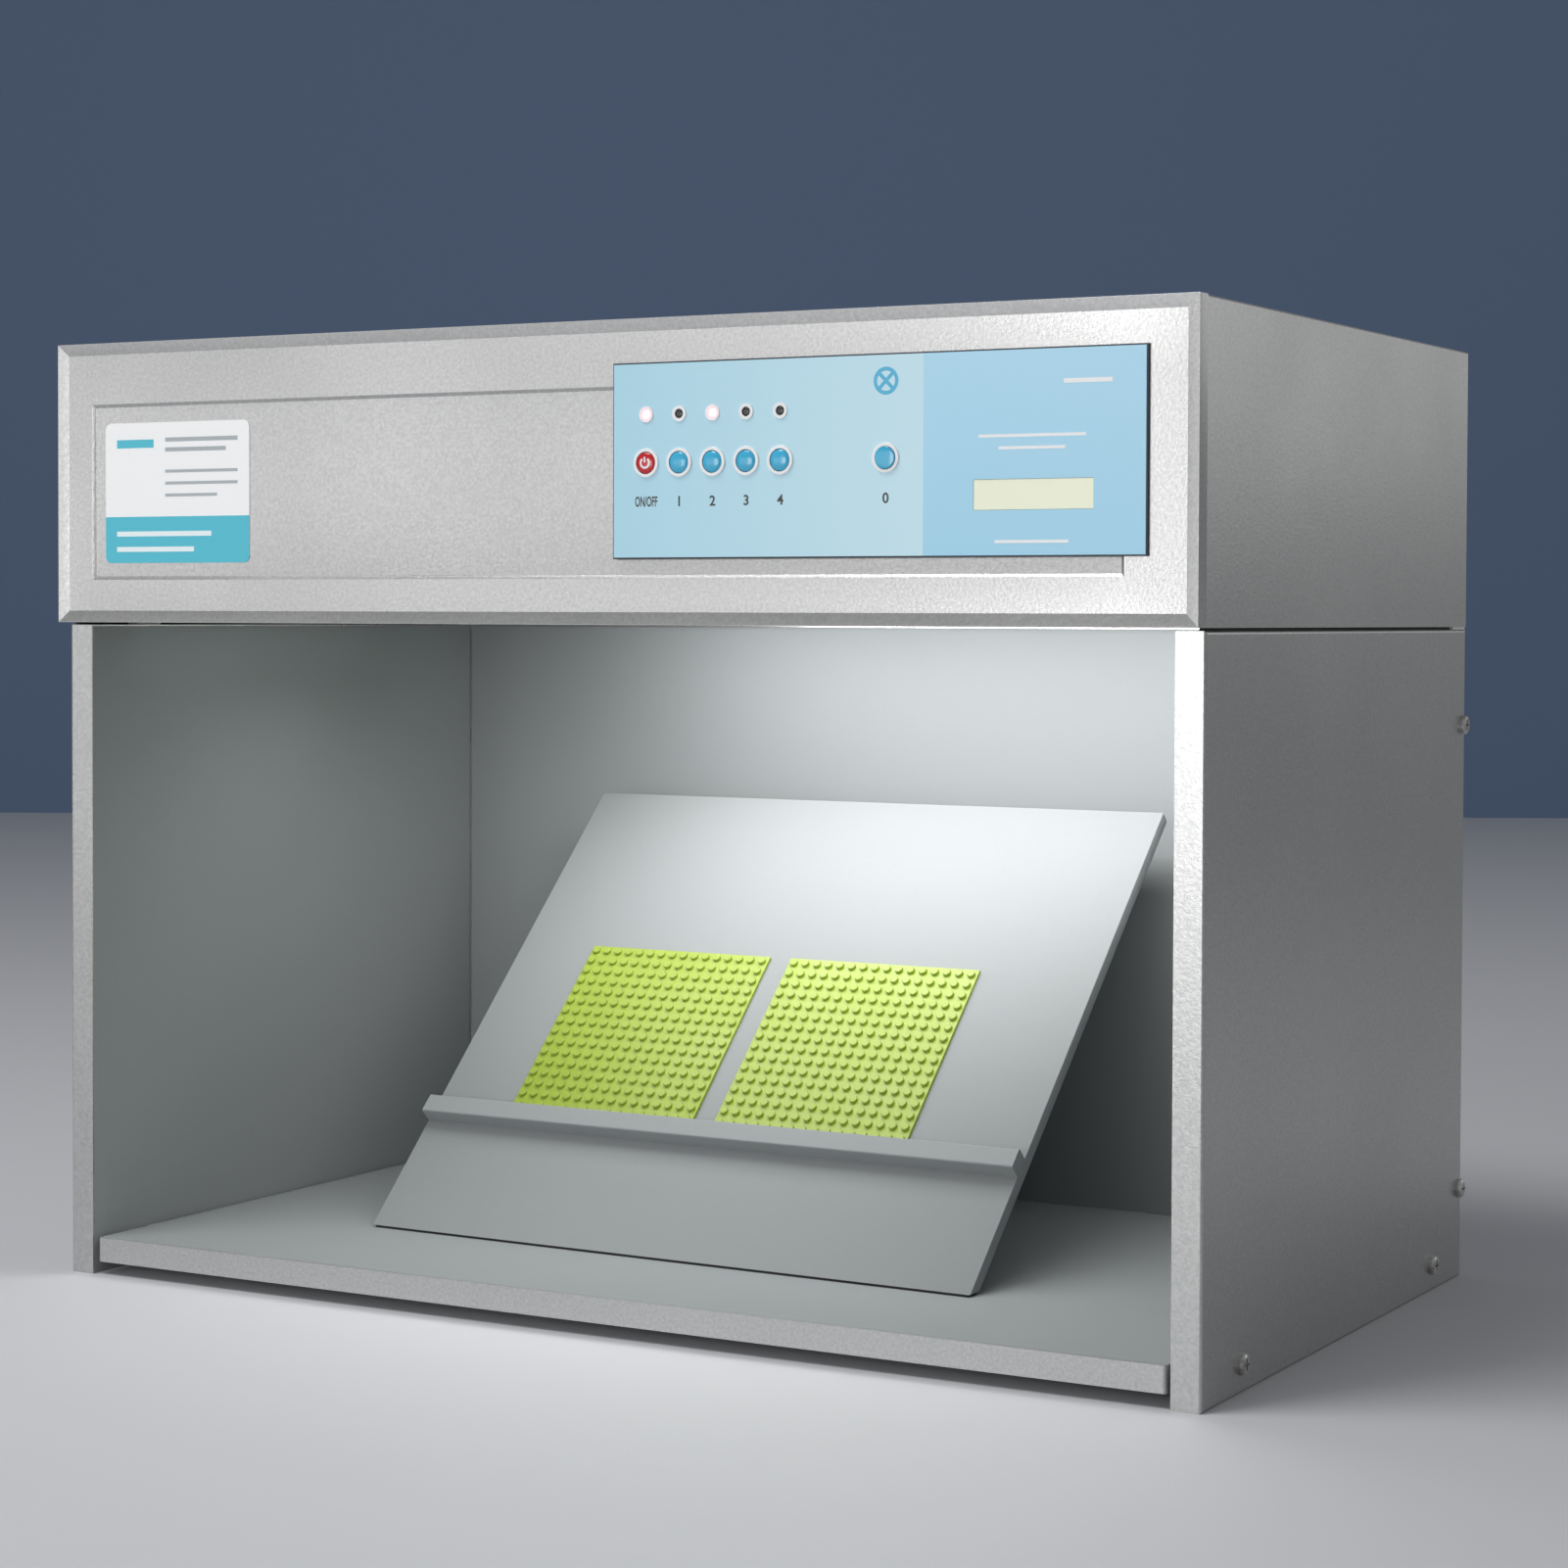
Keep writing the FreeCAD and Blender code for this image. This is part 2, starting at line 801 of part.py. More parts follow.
def panel_cuts(y0, y1):
    """What passes through the control panel between two depths: keys, indicators and display."""
    deep = y1 - y0
    cuts = [rod(x, y0, key_z, Y, key_radius + key_clearance, deep) for x in all_key_places]
    cuts += [rod(x, y0, indicator_z, Y, indicator_radius + indicator_clearance, deep) for x in key_places]
    x0, x1, z0, z1 = display_box
    cuts.append(block(x0 - seat, x1 + seat, y0, y1, z0 - seat, z1 + seat))
    return cuts


def control_plate():
    plate = block(
        panel_left - plate_border, panel_left + panel_width + plate_border, plate_front, plate_back,
        panel_bottom - plate_border, panel_bottom + panel_height + plate_border
    )
    return plate.cut(panel_cuts(plate_front, plate_back))


def control_overlay():
    film = block(
        panel_left, panel_left + panel_width, overlay_front, plate_front,
        panel_bottom, panel_bottom + panel_height
    )
    return film.cut(panel_cuts(overlay_front, plate_front))


def key_ring(x):
    ring = tube(x, ring_front, key_z, Y, ring_radius, key_radius + key_clearance, ring_rise)
    inside = key_radius + key_clearance
    outer = [edge for edge in edges_in_plane(ring, 1, ring_front) if edge.Curve.Radius > inside]
    return ring.makeFillet(ring_rise / 2, outer)


def key_cap(x):
    cap = rod(x, key_front, key_z, Y, key_radius, plate_back - key_front)
    cap = cap.makeFillet(key_round, edges_in_plane(cap, 1, key_front))
    back = plate_back + seat
    neck = rod(x, plate_back, key_z, Y, key_radius, seat)
    flange = rod(x, back, key_z, Y, key_radius + key_flange, key_flange_thick)
    stem = rod(x, back + key_flange_thick, key_z, Y, key_stem_radius, key_stem_length)
    return cap.fuse([neck, flange, stem]).removeSplitter()


def key_switch(x):
    size = switch_size / 2
    return block(x - size, x + size, switch_front, board_front, key_z - size, key_z + size)


def indicator(x):
    proud = overlay_front - indicator_ring_rise
    lens = rod(x, proud, indicator_z, Y, indicator_radius, board_front - proud)
    return lens.makeFillet(indicator_radius / 2, edges_in_plane(lens, 1, proud))


def indicator_ring(x):
    low = overlay_front - indicator_ring_rise
    inside = indicator_radius + indicator_clearance
    return tube(x, low, indicator_z, Y, indicator_ring_radius, inside, indicator_ring_rise)


def display_glass():
    x0, x1, z0, z1 = display_box
    return block(x0, x1, overlay_front + display_recess, plate_back, z0, z1)


def display_module():
    x0, x1, z0, z1 = display_box
    edge = display_border
    return block(x0 - edge, x1 + edge, plate_back, board_front, z0 - edge, z1 + edge)


def board_outline():
    x0, x1, z0, z1 = window
    return x0 + board_margin, x1 - board_margin, z0 + board_margin, z1 - board_margin


def control_board():
    x0, x1, z0, z1 = board_outline()
    return block(x0, x1, board_front, board_front + board_thick, z0, z1)


def board_standoffs():
    """Posts from the plate to the board, clear of the keys, the indicators and the display."""
    x0, x1, z0, z1 = board_outline()
    low = z0 + standoff_inset
    high = z1 - standoff_inset
    beside_display = display_box[0] - display_border - standoff_inset
    between = (key_places[-1] + clear_key_x) / 2
    places = (
        (x0 + standoff_inset, low), (between, low), (beside_display, low),
        (between, high), (x1 - standoff_inset, high),
    )
    return [rod(x, plate_back, z, Y, standoff_radius, board_front - plate_back) for x, z in places]


# Viewing stand, drawn square to the cabinet and then turned about its own foot

slope = math.radians(stand_slope)
rise = Vector(0, math.cos(slope), math.sin(slope))
outward = Vector(0, -math.sin(slope), math.cos(slope))
stand_reach = stand_length * math.cos(slope) + stand_thick * math.sin(slope)
stand_foot = Vector(stand_place, back_front - stand_back_gap - stand_reach, base_top + foot_thick)
stand_half = stand_width / 2
hinge_axis = stand_foot + rise * hinge_place - outward * (stand_thick + hinge_offset)
ledge_top = ledge_place + ledge_height


def turned(shape):
    shape.rotate(stand_foot, Z, stand_turn)
    return shape


def on_board(along, out, side):
    """A point of the stand: along the slope from its foot, out from its face, and across from its middle."""
    return stand_foot + rise * along + outward * out + X * side


def slab(along0, along1, out0, out1, side0, side1):
    """A block whose faces lie along the stand's slope."""
    points = [
        on_board(along0, out0, side0), on_board(along1, out0, side0),
        on_board(along1, out1, side0), on_board(along0, out1, side0),
    ]
    return prism(points, X * (side1 - side0))


def stand_board():
    back = stand_foot + Y * (stand_thick / math.sin(slope))
    points = [
        stand_foot, on_board(stand_length, 0, 0), on_board(stand_length, -stand_thick, 0), back,
    ]
    board = prism(points, X * stand_width)
    board.translate(X * -stand_half)
    return board


def stand_foot_strip():
    wide = stand_half - foot_inset
    deep = stand_thick / math.sin(slope)
    return block(
        stand_foot.x - wide, stand_foot.x + wide, stand_foot.y + foot_thick, stand_foot.y + deep,
        base_top, stand_foot.z
    )


def stand_ledge():
    bar = slab(ledge_place, ledge_top, 0, ledge_depth, -stand_half, stand_half)
    nose = on_board(ledge_place, ledge_depth, 0)
    lip = on_board(ledge_top, ledge_depth, 0)
    front_edges = [
        edge for edge in edges_along(bar, 0)
        if edge.CenterOfMass.distanceToPoint(nose) < 1e-3 or edge.CenterOfMass.distanceToPoint(lip) < 1e-3
    ]
    return bar.makeFillet(ledge_round, front_edges)


def hinge_spans(side):
    """The x limits of one hinge's leaf and of its middle knuckle."""
    middle = stand_foot.x + side * hinge_spacing / 2
    low = middle - hinge_leaf_width / 2
    third = hinge_leaf_width / 3
    return low, low + hinge_leaf_width, low + third, low + 2 * third


def barrel(x0, x1, radius):
    return rod(x0, hinge_axis.y, hinge_axis.z, X, radius, x1 - x0)


def hinge_leaf(side):
    x0, x1, k0, k1 = hinge_spans(side)
    reach = hinge_leaf_length / 2
    plate = slab(
        hinge_place - reach, hinge_place + reach, -stand_thick - hinge_leaf_thick, -stand_thick,
        x0 - stand_foot.x, x1 - stand_foot.x
    )
    leaf = plate.fuse([barrel(x0, k0, hinge_radius), barrel(k1, x1, hinge_radius)])
    relief = barrel(k0, k1, hinge_radius + knuckle_gap)
    return leaf.cut([relief, barrel(x0, x1, hinge_pin_radius)]).removeSplitter()


def hinge_pin(side):
    x0, x1, k0, k1 = hinge_spans(side)
    return barrel(x0, x1, hinge_pin_radius)


def prop_panel():
    low = base_top + prop_clearance + prop_foot_thick
    y0 = hinge_axis.y - prop_thick / 2
    y1 = hinge_axis.y + prop_thick / 2
    left = stand_foot.x - prop_width / 2
    shoulder = hinge_axis.z - prop_neck
    panel = block(left, left + prop_width, y0, y1, low, shoulder)
    bores = []
    necks = []
    for side in (-1, 1):
        x0, x1, k0, k1 = hinge_spans(side)
        n0 = k0 + knuckle_gap
        n1 = k1 - knuckle_gap
        necks.append(block(n0, n1, y0, y1, shoulder, hinge_axis.z))
        necks.append(barrel(n0, n1, hinge_radius))
        bores.append(barrel(n0, n1, hinge_pin_radius + hinge_clearance))
    return panel.fuse(necks).cut(bores).removeSplitter()


def prop_foot():
    low = base_top + prop_clearance
    left = stand_foot.x - prop_width / 2
    return block(
        left, left + prop_width, hinge_axis.y - prop_thick / 2, hinge_axis.y + prop_thick / 2,
        low, low + prop_foot_thick
    )


def sample_plate(place):
    side = stud_count * stud_pitch / 2
    return slab(
        ledge_top, ledge_top + 2 * side, plate_seat, plate_seat + plate_base, place - side, place + side
    )


# Every piece to its own file

os.makedirs("parts", exist_ok=True)

save("right_side_panel", right_pan)
save("left_side_panel", mirrored(right_pan))
save("right_side_liner", right_liner)
save("left_side_liner", mirrored(right_liner))
save("back_panel", back_pan())
save("back_liner", back_liner())
save("base_panel", base_pan())
save("base_deck", base_deck())
save("panel_ribs", *panel_ribs())

screw_places = panel_screw_places()
save("panel_screws", *both_sides([panel_screw(y, z) for y, z, gap in screw_places]))
save("panel_sleeves", *both_sides([panel_sleeve(y, z) for y, z, gap in screw_places]))
save("panel_nuts", *both_sides([panel_nut(y, z, gap) for y, z, gap in screw_places]))
save("base_washers", *both_sides([base_washer(y, z) for y, z, gap in screw_places[:2]]))
save("lamp_house_spacers", *both_sides([spacer(*box) for box in spacer_boxes()]))
save("seam_gasket", *seam_gasket())

save("lamp_house_cover", lamp_house_cover())
save("lamp_frame", lamp_frame())
save("reflector", reflector())
save("rear_panel", rear_panel())
save("rear_screws", *[rear_screw(x, z) for x, z in rear_screw_places()])
save("mains_inlet", mains_inlet())
save("inlet_blades", *inlet_blades())

save("daylight_tubes", tube_glass(tube_rows[0]), tube_glass(tube_rows[2]))
save("store_light_tubes", tube_glass(tube_rows[1]), tube_glass(tube_rows[3]))
save("ultraviolet_tube", tube_glass(tube_rows[4]))
save("tube_caps", *[cap for row in tube_rows for cap in tube_caps(row)])
save("tube_holders", *[holder for row in tube_rows for holder in tube_holders(row)])
bulb_sockets, bulb_caps, bulb_glasses = bulb_sets()
save("bulb_sockets", *bulb_sockets)
save("bulb_caps", *bulb_caps)
save("filament_bulbs", *bulb_glasses)
save("ballasts", *ballasts())

save("front_fascia", front_fascia())
save("label_card", label_card())
save("control_plate", control_plate())
save("control_overlay", control_overlay())
save("key_rings", *[key_ring(x) for x in all_key_places])
save("power_key", key_cap(key_places[0]))
for number, place in enumerate(key_places[1:], 1):
    save("lamp_key_%d" % number, key_cap(place))
save("clear_key", key_cap(clear_key_x))
save("key_switches", *[key_switch(x) for x in all_key_places])
save("lit_indicators", *[indicator(x) for index, x in enumerate(key_places) if index in lit_indicators])
save("dark_indicators", *[indicator(x) for index, x in enumerate(key_places) if index not in lit_indicators])
save("indicator_rings", *[indicator_ring(x) for x in key_places])
save("display_glass", display_glass())
save("display_module", display_module())
save("control_board", control_board())
save("board_standoffs", *board_standoffs())

save("stand_board", turned(stand_board()))
save("stand_foot_strip", turned(stand_foot_strip()))
save("stand_ledge", turned(stand_ledge()))
save("stand_hinge_leaves", *[turned(hinge_leaf(side)) for side in (-1, 1)])
save("stand_hinge_pins", *[turned(hinge_pin(side)) for side in (-1, 1)])
save("stand_prop", turned(prop_panel()))
save("prop_foot", turned(prop_foot()))
save("left_sample_plate", turned(sample_plate(plate_places[0])))
save("right_sample_plate", turned(sample_plate(plate_places[1])))

# Joint places, printed for the record
axis = turned(Part.Vertex(hinge_axis)).Point
print("hinge axis at %.4f %.4f %.4f" % (axis.x, axis.y, axis.z))
along = turned(Part.makeLine(stand_foot, stand_foot + rise)).Edges[0]
way = along.Vertexes[-1].Point - along.Vertexes[0].Point
print("slope direction %.6f %.6f %.6f" % (way.x, way.y, way.z))
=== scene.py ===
import json
import math

import bmesh
import bpy
from mathutils import Matrix, Vector


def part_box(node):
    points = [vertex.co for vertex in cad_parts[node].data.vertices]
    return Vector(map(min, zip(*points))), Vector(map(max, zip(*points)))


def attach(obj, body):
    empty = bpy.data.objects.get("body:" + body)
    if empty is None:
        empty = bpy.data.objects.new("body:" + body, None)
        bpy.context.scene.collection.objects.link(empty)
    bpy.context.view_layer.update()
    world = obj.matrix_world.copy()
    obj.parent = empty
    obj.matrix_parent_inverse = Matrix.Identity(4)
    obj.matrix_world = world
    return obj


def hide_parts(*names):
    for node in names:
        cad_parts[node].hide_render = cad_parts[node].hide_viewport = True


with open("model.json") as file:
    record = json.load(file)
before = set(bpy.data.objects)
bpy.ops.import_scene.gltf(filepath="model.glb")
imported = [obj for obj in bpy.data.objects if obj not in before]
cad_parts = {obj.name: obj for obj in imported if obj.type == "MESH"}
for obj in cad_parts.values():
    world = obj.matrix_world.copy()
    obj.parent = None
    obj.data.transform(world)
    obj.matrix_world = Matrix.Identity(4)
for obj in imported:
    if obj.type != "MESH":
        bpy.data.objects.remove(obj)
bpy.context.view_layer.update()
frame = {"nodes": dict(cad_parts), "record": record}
nodes = frame["nodes"]

# Sizes in metres

MM = 0.001

# Vertices closer than this are merged, and places closer than this count as the same
MERGE = 1e-7
NEAR = 1e-6

# Angles in degrees above which an edge stays crisp, and the angle of a crease that is rounded
FLAT_SMOOTH = 30
ROUND_SMOOTH = 40
CREASE = math.radians(5)

# The photograph's frame and the camera that took it
FRAME_PIXELS = 1601.0
FOCAL_PIXELS = 3419.5
CENTRE_PIXEL = (829.1, 721.4)
SENSOR_WIDTH = 36.0
CAMERA_PLACE = Vector((0.9682, -1.69185, 0.3853))
CAMERA_YAW = math.radians(28.967)
CAMERA_DIP = math.radians(1.556)
CAMERA_ROLL = math.radians(0.203)

# Viewing stand
STAND_SLOPE = math.radians(45.0)
STAND_TURN = math.radians(-1.3)
STAND_WIDTH = 400 * MM
STAND_LENGTH = 348 * MM
STAND_THICK = 8 * MM
BOARD_EDGE = 0.7 * MM

# Studded plates
STUD_COUNT = 16
STUD_PITCH = 8 * MM
STUD_RADIUS = 2.45 * MM
STUD_RISE = 1.8 * MM
STUD_SIDES = 14
STUD_ROUND = 0.35 * MM
PLATE_THICK = 1.8 * MM

# Fascia
RIM_LAND = 0.2 * MM
RIM_BEVEL = 6.7 * MM
RIM_DEPTH = 2.0 * MM
FIELD_LEFT = -331 * MM
FIELD_RIGHT = 315.5 * MM
FIELD_LOW = 24.5 * MM
FIELD_HIGH = 125 * MM
FIELD_DEPTH = 1.5 * MM
FIELD_BEVEL = 1.8 * MM
FASCIA_EDGE = 0.08 * MM

# Keys
LAMP_KEYS = 4
KEY_RADIUS = 5.6 * MM
KEY_DOME = 1.6 * MM
FLAT_DOME = 0.5 * MM
KEY_STEPS = 36
KEY_RINGS = 8

# The mark on the power key: an open ring and a bar, which start this far behind the key's front
MARK_INNER = 2.0 * MM
MARK_OUTER = 3.1 * MM
MARK_INNER_SET = 0.08 * MM
MARK_OUTER_SET = 0.2 * MM
MARK_DEEP = 1.2 * MM
MARK_HALF_GAP = math.radians(38)
MARK_STEPS = 28
MARK_BAR = 0.5 * MM
MARK_BAR_FOOT = 0.3 * MM

# Print on the control panel
PRINT_THICK = 0.06 * MM
LETTER_HEIGHT = 5.2 * MM
LETTER_SCALE = 1.4
LETTER_WEIGHT = 0.16 * MM
WORD_WIDTH = 13.6 * MM
LABEL_DROP = 20.1 * MM
KEY_WORDS = {
    "power_key": "ON/OFF",
    "lamp_key_1": "1",
    "lamp_key_2": "2",
    "lamp_key_3": "3",
    "lamp_key_4": "4",
    "clear_key": "0",
}
SYMBOL_PLACE = (186.3 * MM, 503 * MM)
SYMBOL_RADIUS = 7 * MM
SYMBOL_LINE = 1.9 * MM
SYMBOL_STEPS = 40

# The cross in the lamp sign: turn in degrees, and half thickness, different so that no faces share a plane
SYMBOL_ARMS = ((45, 0.9 * PRINT_THICK), (135, 0.7 * PRINT_THICK))

# White rules on the overlay: middle across, middle height, width and height
RULES = (
    (267 * MM, 474 * MM, 58 * MM, 1.5 * MM),
    (267 * MM, 468 * MM, 36 * MM, 1.5 * MM),
    (267 * MM, 422 * MM, 40 * MM, 1.5 * MM),
    (297 * MM, 500 * MM, 26 * MM, 2.2 * MM),
)

# The overlay's two fields: where they meet, and each one's colour at its start and at its end
OVERLAY_DIVIDE = 0.2074
OVERLAY_PALE = ((0.435, 0.72, 0.85), (0.585, 0.82, 0.91))
OVERLAY_DEEP = ((0.375, 0.695, 0.885), (0.445, 0.74, 0.92))

# Print on the label card, in shares of the card: left, right, foot, thickness and ink
CARD_PAPER = ((0.93, 0.94, 0.945), (0.97, 0.975, 0.98))
PRINT_CYAN = (0.085, 0.53, 0.66)
PRINT_GREY = (0.42, 0.46, 0.48)
PRINT_WHITE = (0.85, 0.93, 0.95)
CARD_PRINT = (
    (0.0, 1.0, 0.0, 0.33, PRINT_CYAN),
    (0.08, 0.62, 0.08, 0.035, PRINT_WHITE),
    (0.08, 0.74, 0.19, 0.035, PRINT_WHITE),
    (0.08, 0.34, 0.82, 0.06, PRINT_CYAN),
    (0.42, 0.92, 0.86, 0.03, PRINT_GREY),
    (0.42, 0.84, 0.79, 0.03, PRINT_GREY),
    (0.42, 0.92, 0.64, 0.022, PRINT_GREY),
    (0.42, 0.92, 0.555, 0.022, PRINT_GREY),
    (0.42, 0.78, 0.47, 0.022, PRINT_GREY),
)

# Indicators: how far a lit lens colours itself, and how far its rose light is painted onto the white ring
# beside it as a painted glow
LENS_REACH = 3 * MM
PAINTED_GLOW_REACH = 7 * MM
LENS_ROSE = (1.0, 0.74, 0.78)
LENS_WHITE = (1.0, 0.96, 0.96)
# Painted glow on the ring: the rose tint of its colour and the colour of its emission
PAINTED_GLOW_TINT = (1.0, 0.72, 0.76)
PAINTED_GLOW_EMISSION = (1.0, 0.55, 0.6)

# Coats that cover many pieces, and the two greens of a circuit board
SILVER = (0.50, 0.50, 0.495)
GREY = (0.275, 0.293, 0.298)
BOARD_GREENS = ((0.012, 0.11, 0.05), (0.03, 0.2, 0.1))

# The usual run of a noise texture's values
NOISE_LOW = 0.3
NOISE_HIGH = 0.7

# Stage
WORLD_GREY = (0.235, 0.24, 0.245)
FLOOR_HALF = 6.0
FLOOR_PAINT = (0.66, 0.665, 0.69)
FLOOR_ROUGH = 0.6
WALL_DISTANCE = 4.5
WALL_HALF = 3.0
WALL_PAINT = (0.17, 0.24, 0.38)
WALL_ROUGH = 0.9

# Studio lamps: a high key, two front strips that the silver reflects, and a glow for the right side.
# Each has a name, a place, an aim, a width and height, and a power in watts.
STUDIO_LAMPS = (
    ("key", (-0.7, -1.15, 2.9), (0, -0.2, 0.4), (1.2, 1.2), 44.0),
    ("long_strip", (-1.45, -2.5, 0.5), (-0.1, -0.2, 0.46), (2.0, 0.9), 6.6),
    ("near_strip", (-0.15, -2.5, 0.5), (0.2, -0.2, 0.46), (0.9, 0.9), 12.0),
    ("side_glow", (1.9, 2.4, 1.0), (0.36, 0, 0.45), (1.8, 0.9), 3.2),
)

# The booth's own light, under the lamp frame: name, place, aim lower down, size, power and cone in degrees
BOOTH_LAMPS = (
    ("lamps", (-0.01, -0.03), (-0.01, -0.03), (0.50, 0.16), 0.62, 140.0),
    ("wall_wash", (0.08, 0.05), (0.08, 0.189), (0.46, 0.05), 0.80, 160.0),
)
LAMP_GAP = 2 * MM
LAMP_DROP = 120 * MM
FULL_CONE = 180.0


# Node trees

def new_material(name):
    """A material with one Principled shader wired to its output."""
    material = bpy.data.materials.new(name)
    material.use_nodes = True
    tree = material.node_tree
    tree.nodes.clear()
    output = tree.nodes.new("ShaderNodeOutputMaterial")
    shader = tree.nodes.new("ShaderNodeBsdfPrincipled")
    tree.links.new(shader.outputs["BSDF"], output.inputs["Surface"])
    return material, tree, shader


def coordinates(tree):
    """The piece's own coordinates, which are the shared frame's."""
    return tree.nodes.new("ShaderNodeTexCoord").outputs["Object"]


def noise(tree, scale, detail=2.0, rough=0.5):
    """A noise over the piece, with so many features to the metre."""
    texture = tree.nodes.new("ShaderNodeTexNoise")
    texture.inputs["Scale"].default_value = scale
    texture.inputs["Detail"].default_value = detail
    texture.inputs["Roughness"].default_value = rough
    tree.links.new(coordinates(tree), texture.inputs["Vector"])
    return texture.outputs["Fac"]


def axis_value(tree, axis):
    """One coordinate of the surface, in metres."""
    split = tree.nodes.new("ShaderNodeSeparateXYZ")
    tree.links.new(coordinates(tree), split.inputs["Vector"])
    return split.outputs[axis]


def spread(tree, value, low, high, to_low=0.0, to_high=1.0):
    """Maps a value between two limits to a range, clamped at both ends."""
    node = tree.nodes.new("ShaderNodeMapRange")
    node.inputs["From Min"].default_value = low
    node.inputs["From Max"].default_value = high
    node.inputs["To Min"].default_value = to_low
    node.inputs["To Max"].default_value = to_high
    tree.links.new(value, node.inputs["Value"])
    return node.outputs["Result"]


def noise_range(tree, value, to_low=0.0, to_high=1.0):
    """Maps the usual run of a noise to a range."""
    return spread(tree, value, NOISE_LOW, NOISE_HIGH, to_low, to_high)


def maths(tree, operation, first, second):
    """One sum on two values, each a number or a socket."""
    node = tree.nodes.new("ShaderNodeMath")
    node.operation = operation
    for socket, value in zip(node.inputs, (first, second)):
        if isinstance(value, (int, float)):
            socket.default_value = value
        else:
            tree.links.new(value, socket)
    return node.outputs["Value"]


def blend_colours(tree, factor, first, second):
    """Mixes two colours, each a tuple or a socket, by a factor."""
    node = tree.nodes.new("ShaderNodeMix")
    node.data_type = "RGBA"
    tree.links.new(factor, node.inputs["Factor"])
    for name, colour in (("A", first), ("B", second)):
        socket = [entry for entry in node.inputs if entry.name == name and entry.type == "RGBA"][0]
        if isinstance(colour, tuple):
            socket.default_value = (*colour, 1.0)
        else:
            tree.links.new(colour, socket)
    return [entry for entry in node.outputs if entry.type == "RGBA"][0]


def relief(tree, shader, height, strength, distance):
    """Roughens a surface by a height, which a distance in metres scales."""
    bump = tree.nodes.new("ShaderNodeBump")
    bump.inputs["Strength"].default_value = strength
    bump.inputs["Distance"].default_value = distance
    tree.links.new(height, bump.inputs["Height"])
    tree.links.new(bump.outputs["Normal"], shader.inputs["Normal"])


def shade(colour, factor):
    """A colour made darker or lighter, and no lighter than white."""
    return tuple(min(1.0, channel * factor) for channel in colour)


# Finishes

def coated(name, colour, rough, metallic, grain, mottle, depth, cloud=0.04):
    """A sprayed finish: fine grain in colour and relief, slow clouds in colour and gloss."""
    material, tree, shader = new_material(name)
    fine = noise(tree, grain, 3.0, 0.6)
    slow = noise(tree, 7.0)
    grained = blend_colours(
        tree, noise_range(tree, fine), shade(colour, 1 - mottle), shade(colour, 1 + mottle)
    )
    clouded = blend_colours(tree, noise_range(tree, slow, 0.0, cloud), grained, shade(colour, 0.8))
    tree.links.new(clouded, shader.inputs["Base Color"])
    tree.links.new(noise_range(tree, slow, rough - 0.04, rough + 0.04), shader.inputs["Roughness"])
    shader.inputs["Metallic"].default_value = metallic
    relief(tree, shader, fine, 0.5, depth)
    return material


def moulded(name, colour, rough, grain=900.0, depth=0.00003, coat=0.0):
    """Moulded plastic: a faint sparked grain and slow changes of gloss."""
    material, tree, shader = new_material(name)
    fine = noise(tree, grain)
    slow = noise(tree, 40.0)
    uneven = blend_colours(tree, slow, shade(colour, 0.94), shade(colour, 1.05))
    tree.links.new(uneven, shader.inputs["Base Color"])
    tree.links.new(noise_range(tree, slow, rough - 0.05, rough + 0.05), shader.inputs["Roughness"])
    shader.inputs["Coat Weight"].default_value = coat
    shader.inputs["Coat Roughness"].default_value = 0.08
    relief(tree, shader, fine, 0.3, depth)
    return material


def plated(name, colour, rough, tarnish):
    """Plated or drawn metal with cloudy tarnish and hair-fine wear."""
    material, tree, shader = new_material(name)
    slow = noise(tree, 180.0, 4.0, 0.65)
    fine = noise(tree, 2400.0)
    clouded = blend_colours(tree, spread(tree, slow, 0.42, 0.68), colour, tarnish)
    tree.links.new(clouded, shader.inputs["Base Color"])
    tree.links.new(spread(tree, slow, 0.35, 0.7, rough, rough + 0.2), shader.inputs["Roughness"])
    shader.inputs["Metallic"].default_value = 1.0
    relief(tree, shader, fine, 0.25, 0.00002)
    return material


def glowing(name, colour, rough, strength, mottle=0.03):
    """A lit tube: its own light over a faintly uneven coating."""
    material, tree, shader = new_material(name)
    slow = noise(tree, 30.0)
    uneven = blend_colours(tree, slow, shade(colour, 1 - mottle), colour)
    tree.links.new(uneven, shader.inputs["Base Color"])
    tree.links.new(uneven, shader.inputs["Emission Color"])
    shader.inputs["Emission Strength"].default_value = strength
    shader.inputs["Roughness"].default_value = rough
    return material


def near_lit_lens(tree, reach):
    """One at the middle of either lit lens, falling to nought at a distance from it."""
    low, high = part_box("lit_indicators")
    radius = (high.z - low.z) / 2
    across = axis_value(tree, "X")
    upward = maths(tree, "SUBTRACT", axis_value(tree, "Z"), (low.z + high.z) / 2)
    upward_square = maths(tree, "MULTIPLY", upward, upward)
    closeness = []
    for centre in (low.x + radius, high.x - radius):
        aside = maths(tree, "SUBTRACT", across, centre)
        aside_square = maths(tree, "MULTIPLY", aside, aside)
        distance = maths(tree, "POWER", maths(tree, "ADD", aside_square, upward_square), 0.5)
        closeness.append(spread(tree, distance, 0.0, reach, 1.0, 0.0))
    return maths(tree, "MAXIMUM", *closeness)


def lit_lens(name):
    """A lit lens: white in the middle and rose towards its edge."""
    material, tree, shader = new_material(name)
    colour = blend_colours(tree, near_lit_lens(tree, LENS_REACH), LENS_ROSE, LENS_WHITE)
    tree.links.new(colour, shader.inputs["Base Color"])
    tree.links.new(colour, shader.inputs["Emission Color"])
    shader.inputs["Emission Strength"].default_value = 0.75
    shader.inputs["Roughness"].default_value = 0.3
    return material


